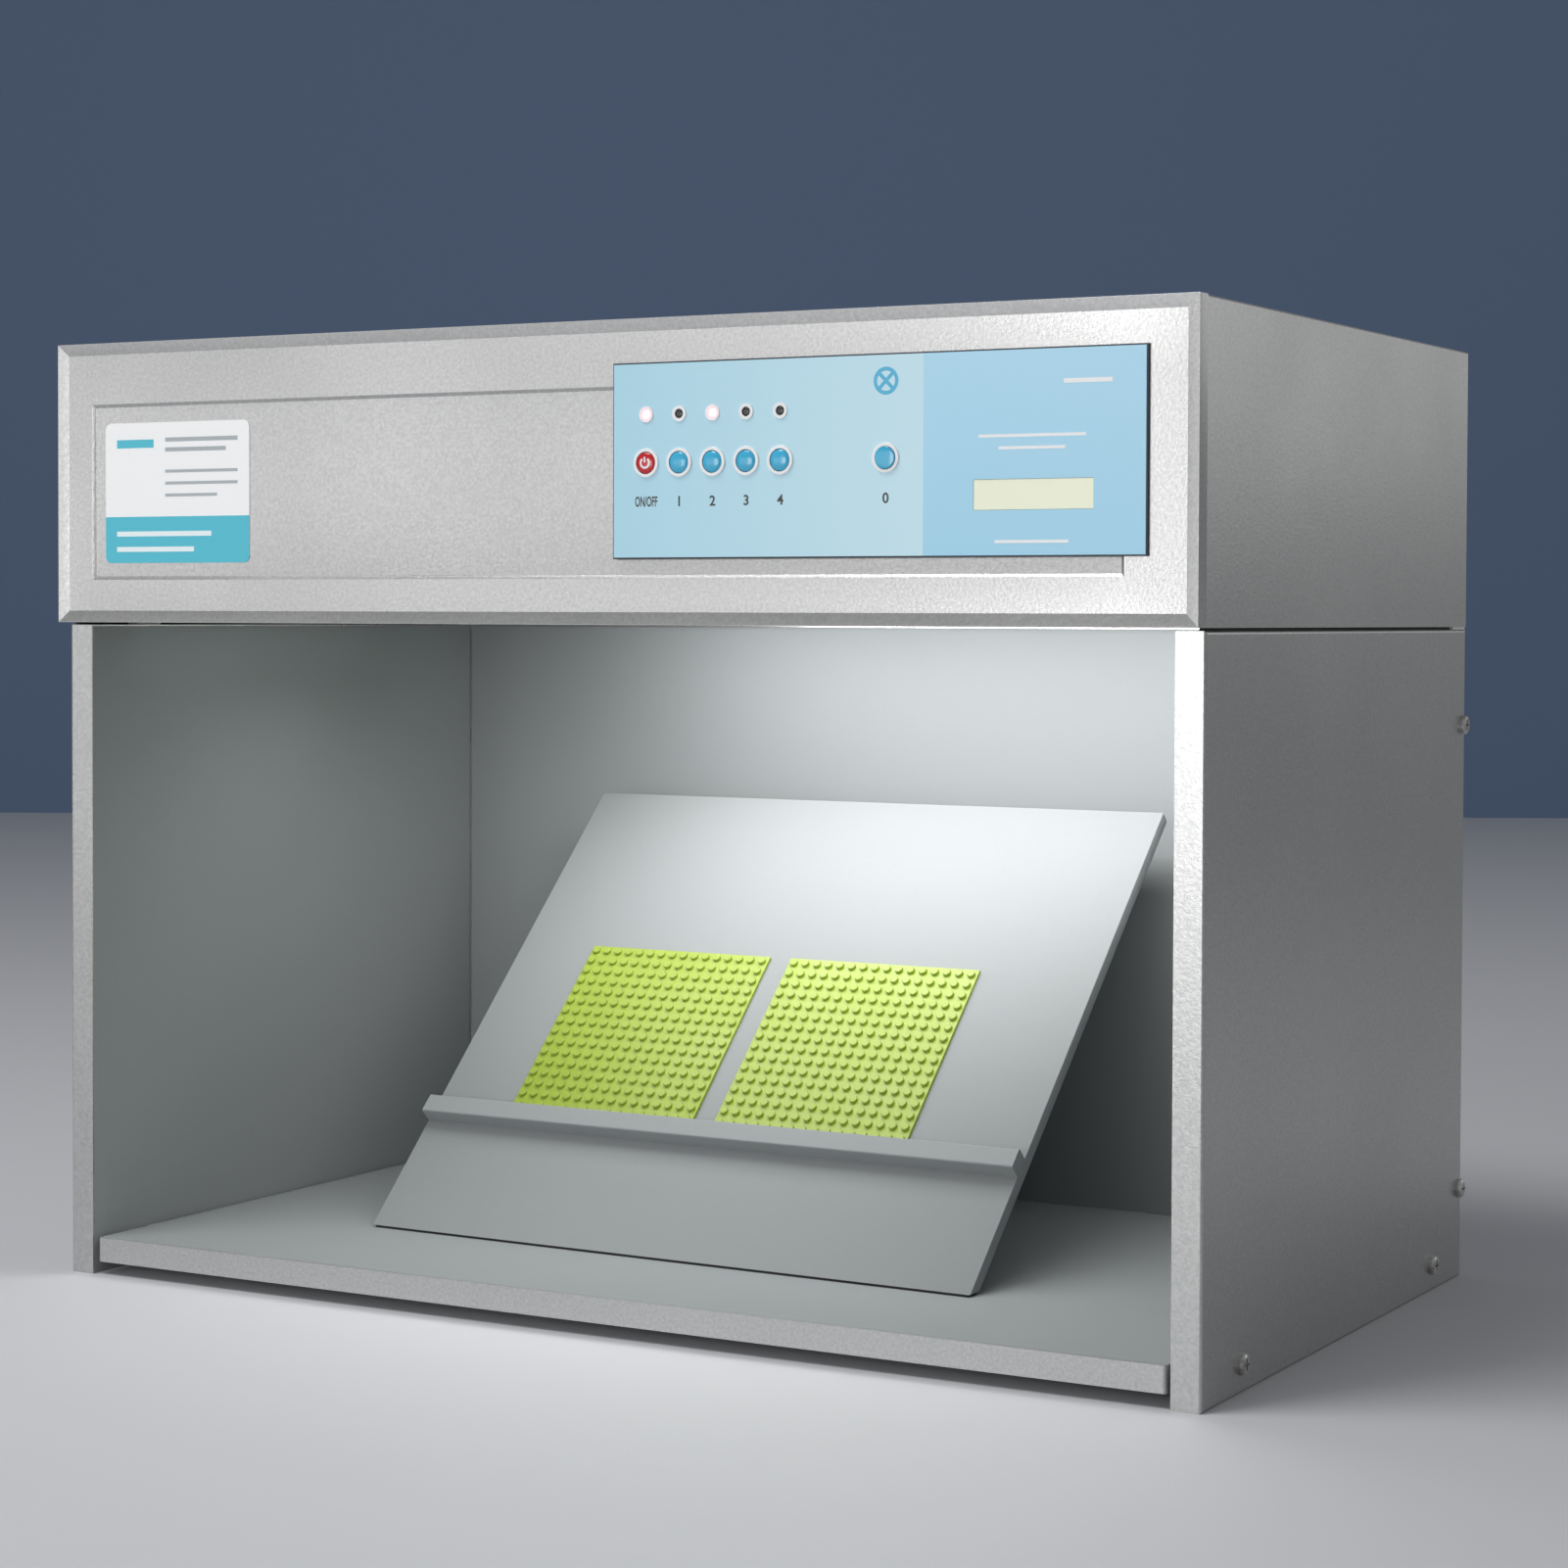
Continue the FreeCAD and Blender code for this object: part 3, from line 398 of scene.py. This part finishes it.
def painted_glow_ring(name, colour, rough):
    """White plastic with a painted glow: the rose light of a lit lens beside it, painted on as a tint and
    a faint emission.
    """
    material, tree, shader = new_material(name)
    slow = noise(tree, 40.0)
    # Painted glow: one near a lit lens, where the ring is tinted rose and made to emit
    glow = near_lit_lens(tree, PAINTED_GLOW_REACH)
    plain = blend_colours(tree, slow, shade(colour, 0.95), colour)
    tree.links.new(blend_colours(tree, glow, plain, PAINTED_GLOW_TINT), shader.inputs["Base Color"])
    # The ring is no lamp: this emission is painted glow from the lit lens beside it
    shader.inputs["Emission Color"].default_value = (*PAINTED_GLOW_EMISSION, 1.0)
    tree.links.new(maths(tree, "MULTIPLY", glow, 0.25), shader.inputs["Emission Strength"])
    tree.links.new(noise_range(tree, slow, rough - 0.05, rough + 0.05), shader.inputs["Roughness"])
    return material


def printed_film(name):
    """The overlay: a pale field that lightens towards the divide, and a bluer field beyond it."""
    material, tree, shader = new_material(name)
    low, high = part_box("control_overlay")
    across = axis_value(tree, "X")
    pale = blend_colours(tree, spread(tree, across, low.x, OVERLAY_DIVIDE), *OVERLAY_PALE)
    deep = blend_colours(tree, spread(tree, axis_value(tree, "Z"), low.z, high.z), *OVERLAY_DEEP)
    beyond = maths(tree, "GREATER_THAN", across, OVERLAY_DIVIDE)
    grain = noise(tree, 1500.0)
    tree.links.new(blend_colours(tree, beyond, pale, deep), shader.inputs["Base Color"])
    tree.links.new(noise_range(tree, grain, 0.33, 0.43), shader.inputs["Roughness"])
    relief(tree, shader, grain, 0.15, 0.00002)
    return material


def patch(tree, across, upward, left, right, low, high):
    """One inside a rectangle of a printed face and nought outside it."""
    after = maths(tree, "GREATER_THAN", across, left)
    before = maths(tree, "LESS_THAN", across, right)
    above = maths(tree, "GREATER_THAN", upward, low)
    below = maths(tree, "LESS_THAN", upward, high)
    sides = maths(tree, "MULTIPLY", after, before)
    ends = maths(tree, "MULTIPLY", above, below)
    return maths(tree, "MULTIPLY", sides, ends)


def printed_card(name):
    """The card: ruled lines on white, and a cyan band with white rules along the bottom."""
    material, tree, shader = new_material(name)
    low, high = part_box("label_card")
    across = spread(tree, axis_value(tree, "X"), low.x, high.x)
    upward = spread(tree, axis_value(tree, "Z"), low.z, high.z)
    fibre = noise(tree, 700.0, 3.0)
    colour = blend_colours(tree, fibre, *CARD_PAPER)
    for left, right, foot, thick, ink in CARD_PRINT:
        mark = patch(tree, across, upward, left, right, foot, foot + thick)
        colour = blend_colours(tree, mark, colour, ink)
    tree.links.new(colour, shader.inputs["Base Color"])
    shader.inputs["Roughness"].default_value = 0.4
    relief(tree, shader, fibre, 0.1, 0.00002)
    return material


def solder_mask(name):
    """A circuit board's green, with slightly raised tracks in a paler green."""
    material, tree, shader = new_material(name)
    banded = spread(tree, noise(tree, 160.0, 1.0), 0.49, 0.51)
    tree.links.new(blend_colours(tree, banded, *BOARD_GREENS), shader.inputs["Base Color"])
    shader.inputs["Roughness"].default_value = 0.35
    relief(tree, shader, banded, 0.2, 0.00003)
    return material


finishes = {
    "silver_coat": coated("silver_coat", SILVER, 0.29, 0.75, 560.0, 0.12, 0.00016),
    "booth_grey": coated("booth_grey", GREY, 0.86, 0.0, 1500.0, 0.03, 0.00004),
    "zinc_steel": plated("zinc_steel", (0.60, 0.61, 0.62), 0.35, (0.45, 0.46, 0.46)),
    "screw_steel": plated("screw_steel", (0.74, 0.735, 0.72), 0.22, (0.42, 0.40, 0.38)),
    "white_nylon": moulded("white_nylon", (0.85, 0.85, 0.82), 0.5),
    "white_enamel": coated("white_enamel", (0.86, 0.86, 0.84), 0.25, 0.0, 500.0, 0.02, 0.00003),
    "black_moulding": moulded("black_moulding", (0.022, 0.022, 0.024), 0.48),
    "plated_brass": plated("plated_brass", (0.80, 0.66, 0.36), 0.25, (0.45, 0.34, 0.17)),
    "daylight_glass": glowing("daylight_glass", (0.94, 0.97, 1.0), 0.2, 0.9),
    "store_glass": moulded("store_glass", (0.90, 0.89, 0.85), 0.18, 300.0, 0.00001, 0.5),
    "violet_glass": moulded("violet_glass", (0.030, 0.012, 0.075), 0.1, 300.0, 0.00001, 0.8),
    "bulb_glass": moulded("bulb_glass", (0.88, 0.86, 0.80), 0.3, 300.0, 0.00001, 0.4),
    "cap_aluminium": plated("cap_aluminium", (0.78, 0.79, 0.80), 0.28, (0.62, 0.63, 0.64)),
    "white_moulding": moulded("white_moulding", (0.83, 0.83, 0.80), 0.42),
    "socket_ceramic": moulded("socket_ceramic", (0.84, 0.81, 0.74), 0.55, 500.0, 0.00006),
    "plate_edge": coated("plate_edge", (0.035, 0.045, 0.06), 0.5, 0.2, 900.0, 0.1, 0.00003),
    "blue_film": printed_film("blue_film"),
    "blue_key": moulded("blue_key", (0.045, 0.44, 0.69), 0.22, 600.0, 0.00001, 0.6),
    "red_key": moulded("red_key", (0.56, 0.008, 0.014), 0.24, 600.0, 0.00001, 0.6),
    # Rings and white print: plain white, with the painted glow of a lit lens close by
    "white_ring": painted_glow_ring("white_ring", (0.90, 0.91, 0.92), 0.3),
    "lit_lens": lit_lens("lit_lens"),
    "dark_lens": moulded("dark_lens", (0.012, 0.010, 0.010), 0.2, 600.0, 0.00001, 0.5),
    "display_cell": moulded("display_cell", (0.93, 0.97, 0.74), 0.35, 1200.0, 0.00001),
    "board_green": solder_mask("board_green"),
    "card_white": printed_card("card_white"),
    "stand_paint": coated("stand_paint", (0.295, 0.312, 0.317), 0.8, 0.0, 1500.0, 0.025, 0.00004),
    "hinge_steel": plated("hinge_steel", (0.5, 0.51, 0.52), 0.35, (0.36, 0.36, 0.37)),
    "black_rubber": moulded("black_rubber", (0.02, 0.02, 0.02), 0.75, 500.0, 0.0001),
    "lime_plastic": moulded("lime_plastic", (0.325, 0.43, 0.05), 0.36, 700.0, 0.00002),
}


def dress_cad_nodes():
    """Gives every CAD node the finish of its slot in the record."""
    for part in frame["record"]["subparts"]:
        mesh = nodes[part["node"]].data
        finish = finishes[part["material_slot"]]
        if mesh.materials:
            for index in range(len(mesh.materials)):
                mesh.materials[index] = finish
        else:
            mesh.materials.append(finish)


# Mesh helpers

def finish_piece(bm, name, slot, body, replaced=(), smooth=None):
    """Turns a bmesh into a piece that rides on a body and may stand for CAD nodes."""
    bmesh.ops.remove_doubles(bm, verts=bm.verts, dist=MERGE)
    bmesh.ops.recalc_face_normals(bm, faces=bm.faces)
    mesh = bpy.data.meshes.new(name)
    bm.to_mesh(mesh)
    bm.free()
    mesh.materials.append(finishes[slot])
    if smooth is not None:
        mesh.polygons.foreach_set("use_smooth", [True] * len(mesh.polygons))
        mesh.set_sharp_from_angle(angle=math.radians(smooth))
    piece = bpy.data.objects.new(name, mesh)
    bpy.context.scene.collection.objects.link(piece)
    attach(piece, body)
    if replaced:
        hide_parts(*replaced)
    return piece


def cuboid(bm, low, high):
    """Adds a box between two corners and returns its vertices."""
    low = Vector(low)
    high = Vector(high)
    size = high - low
    matrix = Matrix.Translation((low + high) / 2) @ Matrix.Diagonal((*size, 1.0))
    return bmesh.ops.create_cube(bm, size=1.0, matrix=matrix)["verts"]


def round_edges(bm, edges, width, segments=2):
    """Rounds edges by a width."""
    bmesh.ops.bevel(
        bm, geom=edges, offset=width, offset_type="OFFSET", affect="EDGES",
        segments=segments, profile=0.5, material=-1, clamp_overlap=True
    )


def full_turn(bm, geometry, centre, steps):
    """Spins a profile once round the front-to-back axis through a point."""
    bmesh.ops.spin(
        bm, geom=geometry, cent=centre, axis=(0, 1, 0), angle=math.tau, steps=steps, use_merge=True
    )


def extent(bm):
    """The lowest and the highest corner of a mesh."""
    low = Vector([min(vert.co[axis] for vert in bm.verts) for axis in range(3)])
    high = Vector([max(vert.co[axis] for vert in bm.verts) for axis in range(3)])
    return low, high


def middle(node):
    """The middle of a CAD node's box."""
    low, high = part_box(node)
    return (low + high) / 2


def stand_space(centre):
    """A matrix from the stand's own axes, across, up the slope and outwards, to the shared frame."""
    turn = Matrix.Rotation(STAND_TURN, 4, "Z")
    tilt = Matrix.Rotation(STAND_SLOPE, 4, "X")
    return Matrix.Translation(centre) @ turn @ tilt


# Fascia

def set_back(bm, face, margin, depth):
    """Insets a face and moves it back, which leaves a sloping step round it."""
    bmesh.ops.inset_region(bm, faces=[face], thickness=margin, depth=0.0, use_even_offset=True)
    bmesh.ops.translate(bm, verts=face.verts, vec=(0, depth, 0))


def cut_face(bm, level, place, normal):
    """Cuts the faces that lie at one depth along a plane."""
    flat = [entry for entry in bm.faces if abs(entry.calc_center_median().y - level) < NEAR]
    edges = {edge for entry in flat for edge in entry.edges}
    corners = {vert for entry in flat for vert in entry.verts}
    geometry = flat + list(edges) + list(corners)
    bmesh.ops.bisect_plane(bm, geom=geometry, plane_co=place, plane_no=normal)


def creased(edge, back):
    """Whether an edge is a crease that doesn't lie on the back plane."""
    if len(edge.link_faces) != 2:
        return False
    return edge.calc_face_angle() > CREASE and edge.verts[0].co.y < back - NEAR


def front_fascia():
    """The front: a proud rim with a bevel down to the face, and a field set back in the face."""
    low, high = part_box("front_fascia")
    level = low.y + RIM_DEPTH
    foot = low.z + FIELD_LOW
    head = low.z + FIELD_HIGH
    bm = bmesh.new()
    cuboid(bm, low, high)
    front = min(bm.faces, key=lambda entry: entry.calc_center_median().y)
    set_back(bm, front, RIM_LAND, 0.0)
    set_back(bm, front, RIM_BEVEL - RIM_LAND, RIM_DEPTH)
    for side in (FIELD_LEFT, FIELD_RIGHT):
        cut_face(bm, level, (side, 0, 0), (1, 0, 0))
    for end in (foot, head):
        cut_face(bm, level, (0, 0, end), (0, 0, 1))
    centre = Vector(((FIELD_LEFT + FIELD_RIGHT) / 2, level, (foot + head) / 2))
    field = min(bm.faces, key=lambda entry: (entry.calc_center_median() - centre).length)
    set_back(bm, field, FIELD_BEVEL, FIELD_DEPTH)
    round_edges(bm, [edge for edge in bm.edges if creased(edge, high.y)], FASCIA_EDGE)
    finish_piece(bm, "pressed_fascia", "silver_coat", "cabinet", ["front_fascia"], FLAT_SMOOTH)


# Stand and samples

def stand_board():
    """The sloping board with a foot cut level with the deck and softened edges."""
    bm = bmesh.new()
    cuboid(bm, (-STAND_WIDTH / 2, 0, -STAND_THICK), (STAND_WIDTH / 2, STAND_LENGTH, 0))
    for vert in bm.verts:
        if vert.co.y < STAND_LENGTH / 2 and vert.co.z < -STAND_THICK / 2:
            vert.co.y += STAND_THICK / math.tan(STAND_SLOPE)
    round_edges(bm, bm.edges[:], BOARD_EDGE)
    bmesh.ops.transform(bm, matrix=stand_space((0, 0, 0)), verts=bm.verts)
    low, high = extent(bm)
    bmesh.ops.translate(bm, verts=bm.verts, vec=middle("stand_board") - (low + high) / 2)
    finish_piece(bm, "painted_board", "stand_paint", "stand", ["stand_board"], FLAT_SMOOTH)


def studded_plate(node, body):
    """A thin plate with a square grid of round studs, lying on the stand's slope."""
    side = STUD_COUNT * STUD_PITCH / 2
    top = PLATE_THICK / 2
    bm = bmesh.new()
    cuboid(bm, (-side, -side, -top), (side, side, top))
    round_edges(bm, bm.edges[:], STUD_ROUND / 2, 1)
    for column in range(STUD_COUNT):
        for row in range(STUD_COUNT):
            place = Vector((column, row, 0)) * STUD_PITCH - Vector((side, side, 0))
            place += Vector((STUD_PITCH / 2, STUD_PITCH / 2, top + STUD_RISE / 2))
            bmesh.ops.create_cone(
                bm, cap_ends=True, segments=STUD_SIDES, radius1=STUD_RADIUS, radius2=STUD_RADIUS,
                depth=STUD_RISE, matrix=Matrix.Translation(place)
            )
    crown = top + STUD_RISE - NEAR
    tops = [edge for edge in bm.edges if all(vert.co.z > crown for vert in edge.verts)]
    round_edges(bm, tops, STUD_ROUND, 1)
    bmesh.ops.transform(bm, matrix=stand_space(middle(node)), verts=bm.verts)
    finish_piece(bm, "studded_" + node, "lime_plastic", body, [node], ROUND_SMOOTH)


# Keys

def domed_key(node, slot, dome):
    """A round key with a shallow dome, turned about its own axis."""
    low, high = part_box(node)
    centre = middle(node)
    bm = bmesh.new()
    profile = []
    for step in range(KEY_RINGS + 1):
        angle = math.pi / 2 * step / KEY_RINGS
        out = KEY_RADIUS * math.sin(angle)
        profile.append(bm.verts.new((centre.x + out, low.y + dome * (1 - math.cos(angle)), centre.z)))
    profile.append(bm.verts.new((centre.x + KEY_RADIUS, high.y, centre.z)))
    profile.append(bm.verts.new((centre.x, high.y, centre.z)))
    edges = [bm.edges.new(pair) for pair in zip(profile, profile[1:])]
    full_turn(bm, profile + edges, centre, KEY_STEPS)
    finish_piece(bm, "domed_" + node, slot, node, [node], ROUND_SMOOTH)


def power_mark():
    """An open ring and a bar on the power key."""
    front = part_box("power_key")[0].y
    centre = middle("power_key")
    deep = front + MARK_DEEP
    profile = (
        (MARK_INNER, front + MARK_INNER_SET), (MARK_OUTER, front + MARK_OUTER_SET),
        (MARK_OUTER, deep), (MARK_INNER, deep),
    )
    aside = math.sin(MARK_HALF_GAP)
    upward = math.cos(MARK_HALF_GAP)
    bm = bmesh.new()
    section = [
        bm.verts.new((centre.x + out * aside, along, centre.z + out * upward)) for out, along in profile
    ]
    face = bm.faces.new(section)
    sweep = math.tau - 2 * MARK_HALF_GAP
    bmesh.ops.spin(bm, geom=[face], cent=centre, axis=(0, 1, 0), angle=sweep, steps=MARK_STEPS)
    cuboid(
        bm, (centre.x - MARK_BAR, front - PRINT_THICK, centre.z + MARK_BAR_FOOT),
        (centre.x + MARK_BAR, deep, centre.z + MARK_OUTER)
    )
    finish_piece(bm, "power_mark", "white_ring", "power_key", (), ROUND_SMOOTH)


# Print on the control panel

def raised_print(name, body_mesh, centre_x, centre_z, slot, width=None):
    """Places flat print, drawn in x and y about its middle, on the overlay's face, squeezed to a width."""
    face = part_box("control_overlay")[0].y
    bm = bmesh.new()
    bm.from_mesh(body_mesh)
    bpy.data.meshes.remove(body_mesh)
    low, high = extent(bm)
    bmesh.ops.translate(bm, verts=bm.verts, vec=-(low + high) / 2)
    if width is not None:
        bmesh.ops.scale(bm, verts=bm.verts, vec=(width / (high.x - low.x), 1, 1))
    bmesh.ops.rotate(bm, verts=bm.verts, matrix=Matrix.Rotation(math.pi / 2, 3, "X"))
    bmesh.ops.translate(bm, verts=bm.verts, vec=(centre_x, face, centre_z))
    finish_piece(bm, name, slot, "cabinet")


def lettering(name, words, centre_x, centre_z, slot, width=None):
    """Plain words as thin raised print."""
    curve = bpy.data.curves.new(name, "FONT")
    curve.body = words
    curve.size = LETTER_HEIGHT * LETTER_SCALE
    curve.extrude = PRINT_THICK
    curve.offset = LETTER_WEIGHT
    holder = bpy.data.objects.new(name + "_outline", curve)
    bpy.context.scene.collection.objects.link(holder)
    bpy.context.view_layer.update()
    mesh = bpy.data.meshes.new_from_object(holder)
    bpy.data.objects.remove(holder)
    bpy.data.curves.remove(curve)
    raised_print(name, mesh, centre_x, centre_z, slot, width)


def panel_labels():
    """ON and OFF under the power key, plain numbers under the others."""
    for node, words in KEY_WORDS.items():
        place = middle(node)
        width = WORD_WIDTH if len(words) > 1 else None
        lettering("label_" + node, words, place.x, place.z - LABEL_DROP, "dark_lens", width)


def lamp_symbol():
    """A plain lamp sign, a ring with a cross in it, on the overlay."""
    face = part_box("control_overlay")[0].y
    centre = Vector((SYMBOL_PLACE[0], face, SYMBOL_PLACE[1]))
    inside = SYMBOL_RADIUS - SYMBOL_LINE
    profile = (
        (inside, -PRINT_THICK), (SYMBOL_RADIUS, -PRINT_THICK),
        (SYMBOL_RADIUS, PRINT_THICK), (inside, PRINT_THICK),
    )
    bm = bmesh.new()
    section = [bm.verts.new((centre.x + out, face + along, centre.z)) for out, along in profile]
    edges = [bm.edges.new((section[index], section[index - 1])) for index in range(len(section))]
    full_turn(bm, section + edges, centre, SYMBOL_STEPS)
    for turn, proud in SYMBOL_ARMS:
        arm = cuboid(bm, (-inside, -proud, -SYMBOL_LINE / 2), (inside, proud, SYMBOL_LINE / 2))
        swing = Matrix.Translation(centre) @ Matrix.Rotation(math.radians(turn), 4, "Y")
        bmesh.ops.transform(bm, matrix=swing, verts=arm)
    finish_piece(bm, "lamp_symbol", "blue_key", "cabinet")


def panel_rules():
    """White rules on the bluer end of the overlay."""
    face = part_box("control_overlay")[0].y
    bm = bmesh.new()
    for across, upward, width, height in RULES:
        cuboid(
            bm, (across - width / 2, face - PRINT_THICK, upward - height / 2),
            (across + width / 2, face + PRINT_THICK, upward + height / 2)
        )
    finish_piece(bm, "panel_rules", "white_ring", "cabinet")


# Stage, light and camera

def surroundings():
    """An even grey light from all round."""
    world = bpy.data.worlds.new("studio")
    bpy.context.scene.world = world
    world.use_nodes = True
    background = world.node_tree.nodes["Background"]
    background.inputs["Color"].default_value = (*WORLD_GREY, 1.0)
    background.inputs["Strength"].default_value = 1.0


def stage_plane(name, half, place, colour, rough):
    """A plain painted square of the stage, set in place by a matrix."""
    bm = bmesh.new()
    bmesh.ops.create_grid(bm, x_segments=1, y_segments=1, size=half)
    bmesh.ops.transform(bm, matrix=place, verts=bm.verts)
    mesh = bpy.data.meshes.new(name)
    bm.to_mesh(mesh)
    bm.free()
    material, tree, shader = new_material(name + "_paint")
    shader.inputs["Base Color"].default_value = (*colour, 1.0)
    shader.inputs["Roughness"].default_value = rough
    mesh.materials.append(material)
    plane = bpy.data.objects.new(name, mesh)
    bpy.context.scene.collection.objects.link(plane)


def stage():
    """A pale floor, and a plain slate wall behind the cabinet, square to the view."""
    stage_plane("floor", FLOOR_HALF, Matrix.Identity(4), FLOOR_PAINT, FLOOR_ROUGH)
    upright = Matrix.Rotation(CAMERA_YAW, 4, "Z") @ Matrix.Rotation(math.pi / 2, 4, "X")
    away = Vector((-math.sin(CAMERA_YAW), math.cos(CAMERA_YAW), 0)) * WALL_DISTANCE
    stage_plane("backdrop", WALL_HALF, Matrix.Translation(away) @ upright, WALL_PAINT, WALL_ROUGH)


def area_light(name, place, aim, size, power, cone=FULL_CONE):
    """A soft lamp of a width and a height, aimed at a point and hidden from the camera."""
    lamp = bpy.data.lights.new(name, "AREA")
    lamp.energy = power
    lamp.shape = "RECTANGLE"
    lamp.size = size[0]
    lamp.size_y = size[1]
    lamp.spread = math.radians(cone)
    holder = bpy.data.objects.new(name, lamp)
    holder.location = place
    holder.rotation_euler = (Vector(aim) - Vector(place)).to_track_quat("-Z", "Y").to_euler()
    holder.visible_camera = False
    bpy.context.scene.collection.objects.link(holder)


def lights():
    """The studio's lamps, and the cabinet's own light into the booth and along its back."""
    for lamp in STUDIO_LAMPS:
        area_light(*lamp)
    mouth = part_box("lamp_frame")[0].z - LAMP_GAP
    for name, place, aim, size, power, cone in BOOTH_LAMPS:
        area_light(name, (*place, mouth), (*aim, mouth - LAMP_DROP), size, power, cone)


def camera():
    """The photograph's view, with its slight roll and off-centre framing."""
    lens = bpy.data.cameras.new("view")
    lens.sensor_width = SENSOR_WIDTH
    lens.lens = FOCAL_PIXELS / FRAME_PIXELS * SENSOR_WIDTH
    lens.shift_x = (FRAME_PIXELS / 2 - CENTRE_PIXEL[0]) / FRAME_PIXELS
    lens.shift_y = (CENTRE_PIXEL[1] - FRAME_PIXELS / 2) / FRAME_PIXELS
    turn = Matrix.Rotation(CAMERA_YAW, 4, "Z") @ Matrix.Rotation(math.pi / 2 - CAMERA_DIP, 4, "X")
    eye = bpy.data.objects.new("view", lens)
    eye.matrix_world = Matrix.Translation(CAMERA_PLACE) @ turn @ Matrix.Rotation(CAMERA_ROLL, 4, "Z")
    bpy.context.scene.collection.objects.link(eye)
    bpy.context.scene.camera = eye


dress_cad_nodes()
front_fascia()
stand_board()
studded_plate("left_sample_plate", "left_plate")
studded_plate("right_sample_plate", "right_plate")
for number in range(1, LAMP_KEYS + 1):
    domed_key("lamp_key_%d" % number, "blue_key", KEY_DOME)
domed_key("clear_key", "blue_key", FLAT_DOME)
domed_key("power_key", "red_key", KEY_DOME)
power_mark()
panel_labels()
lamp_symbol()
panel_rules()
surroundings()
stage()
lights()
camera()
bpy.context.scene.view_settings.view_transform = "Standard"
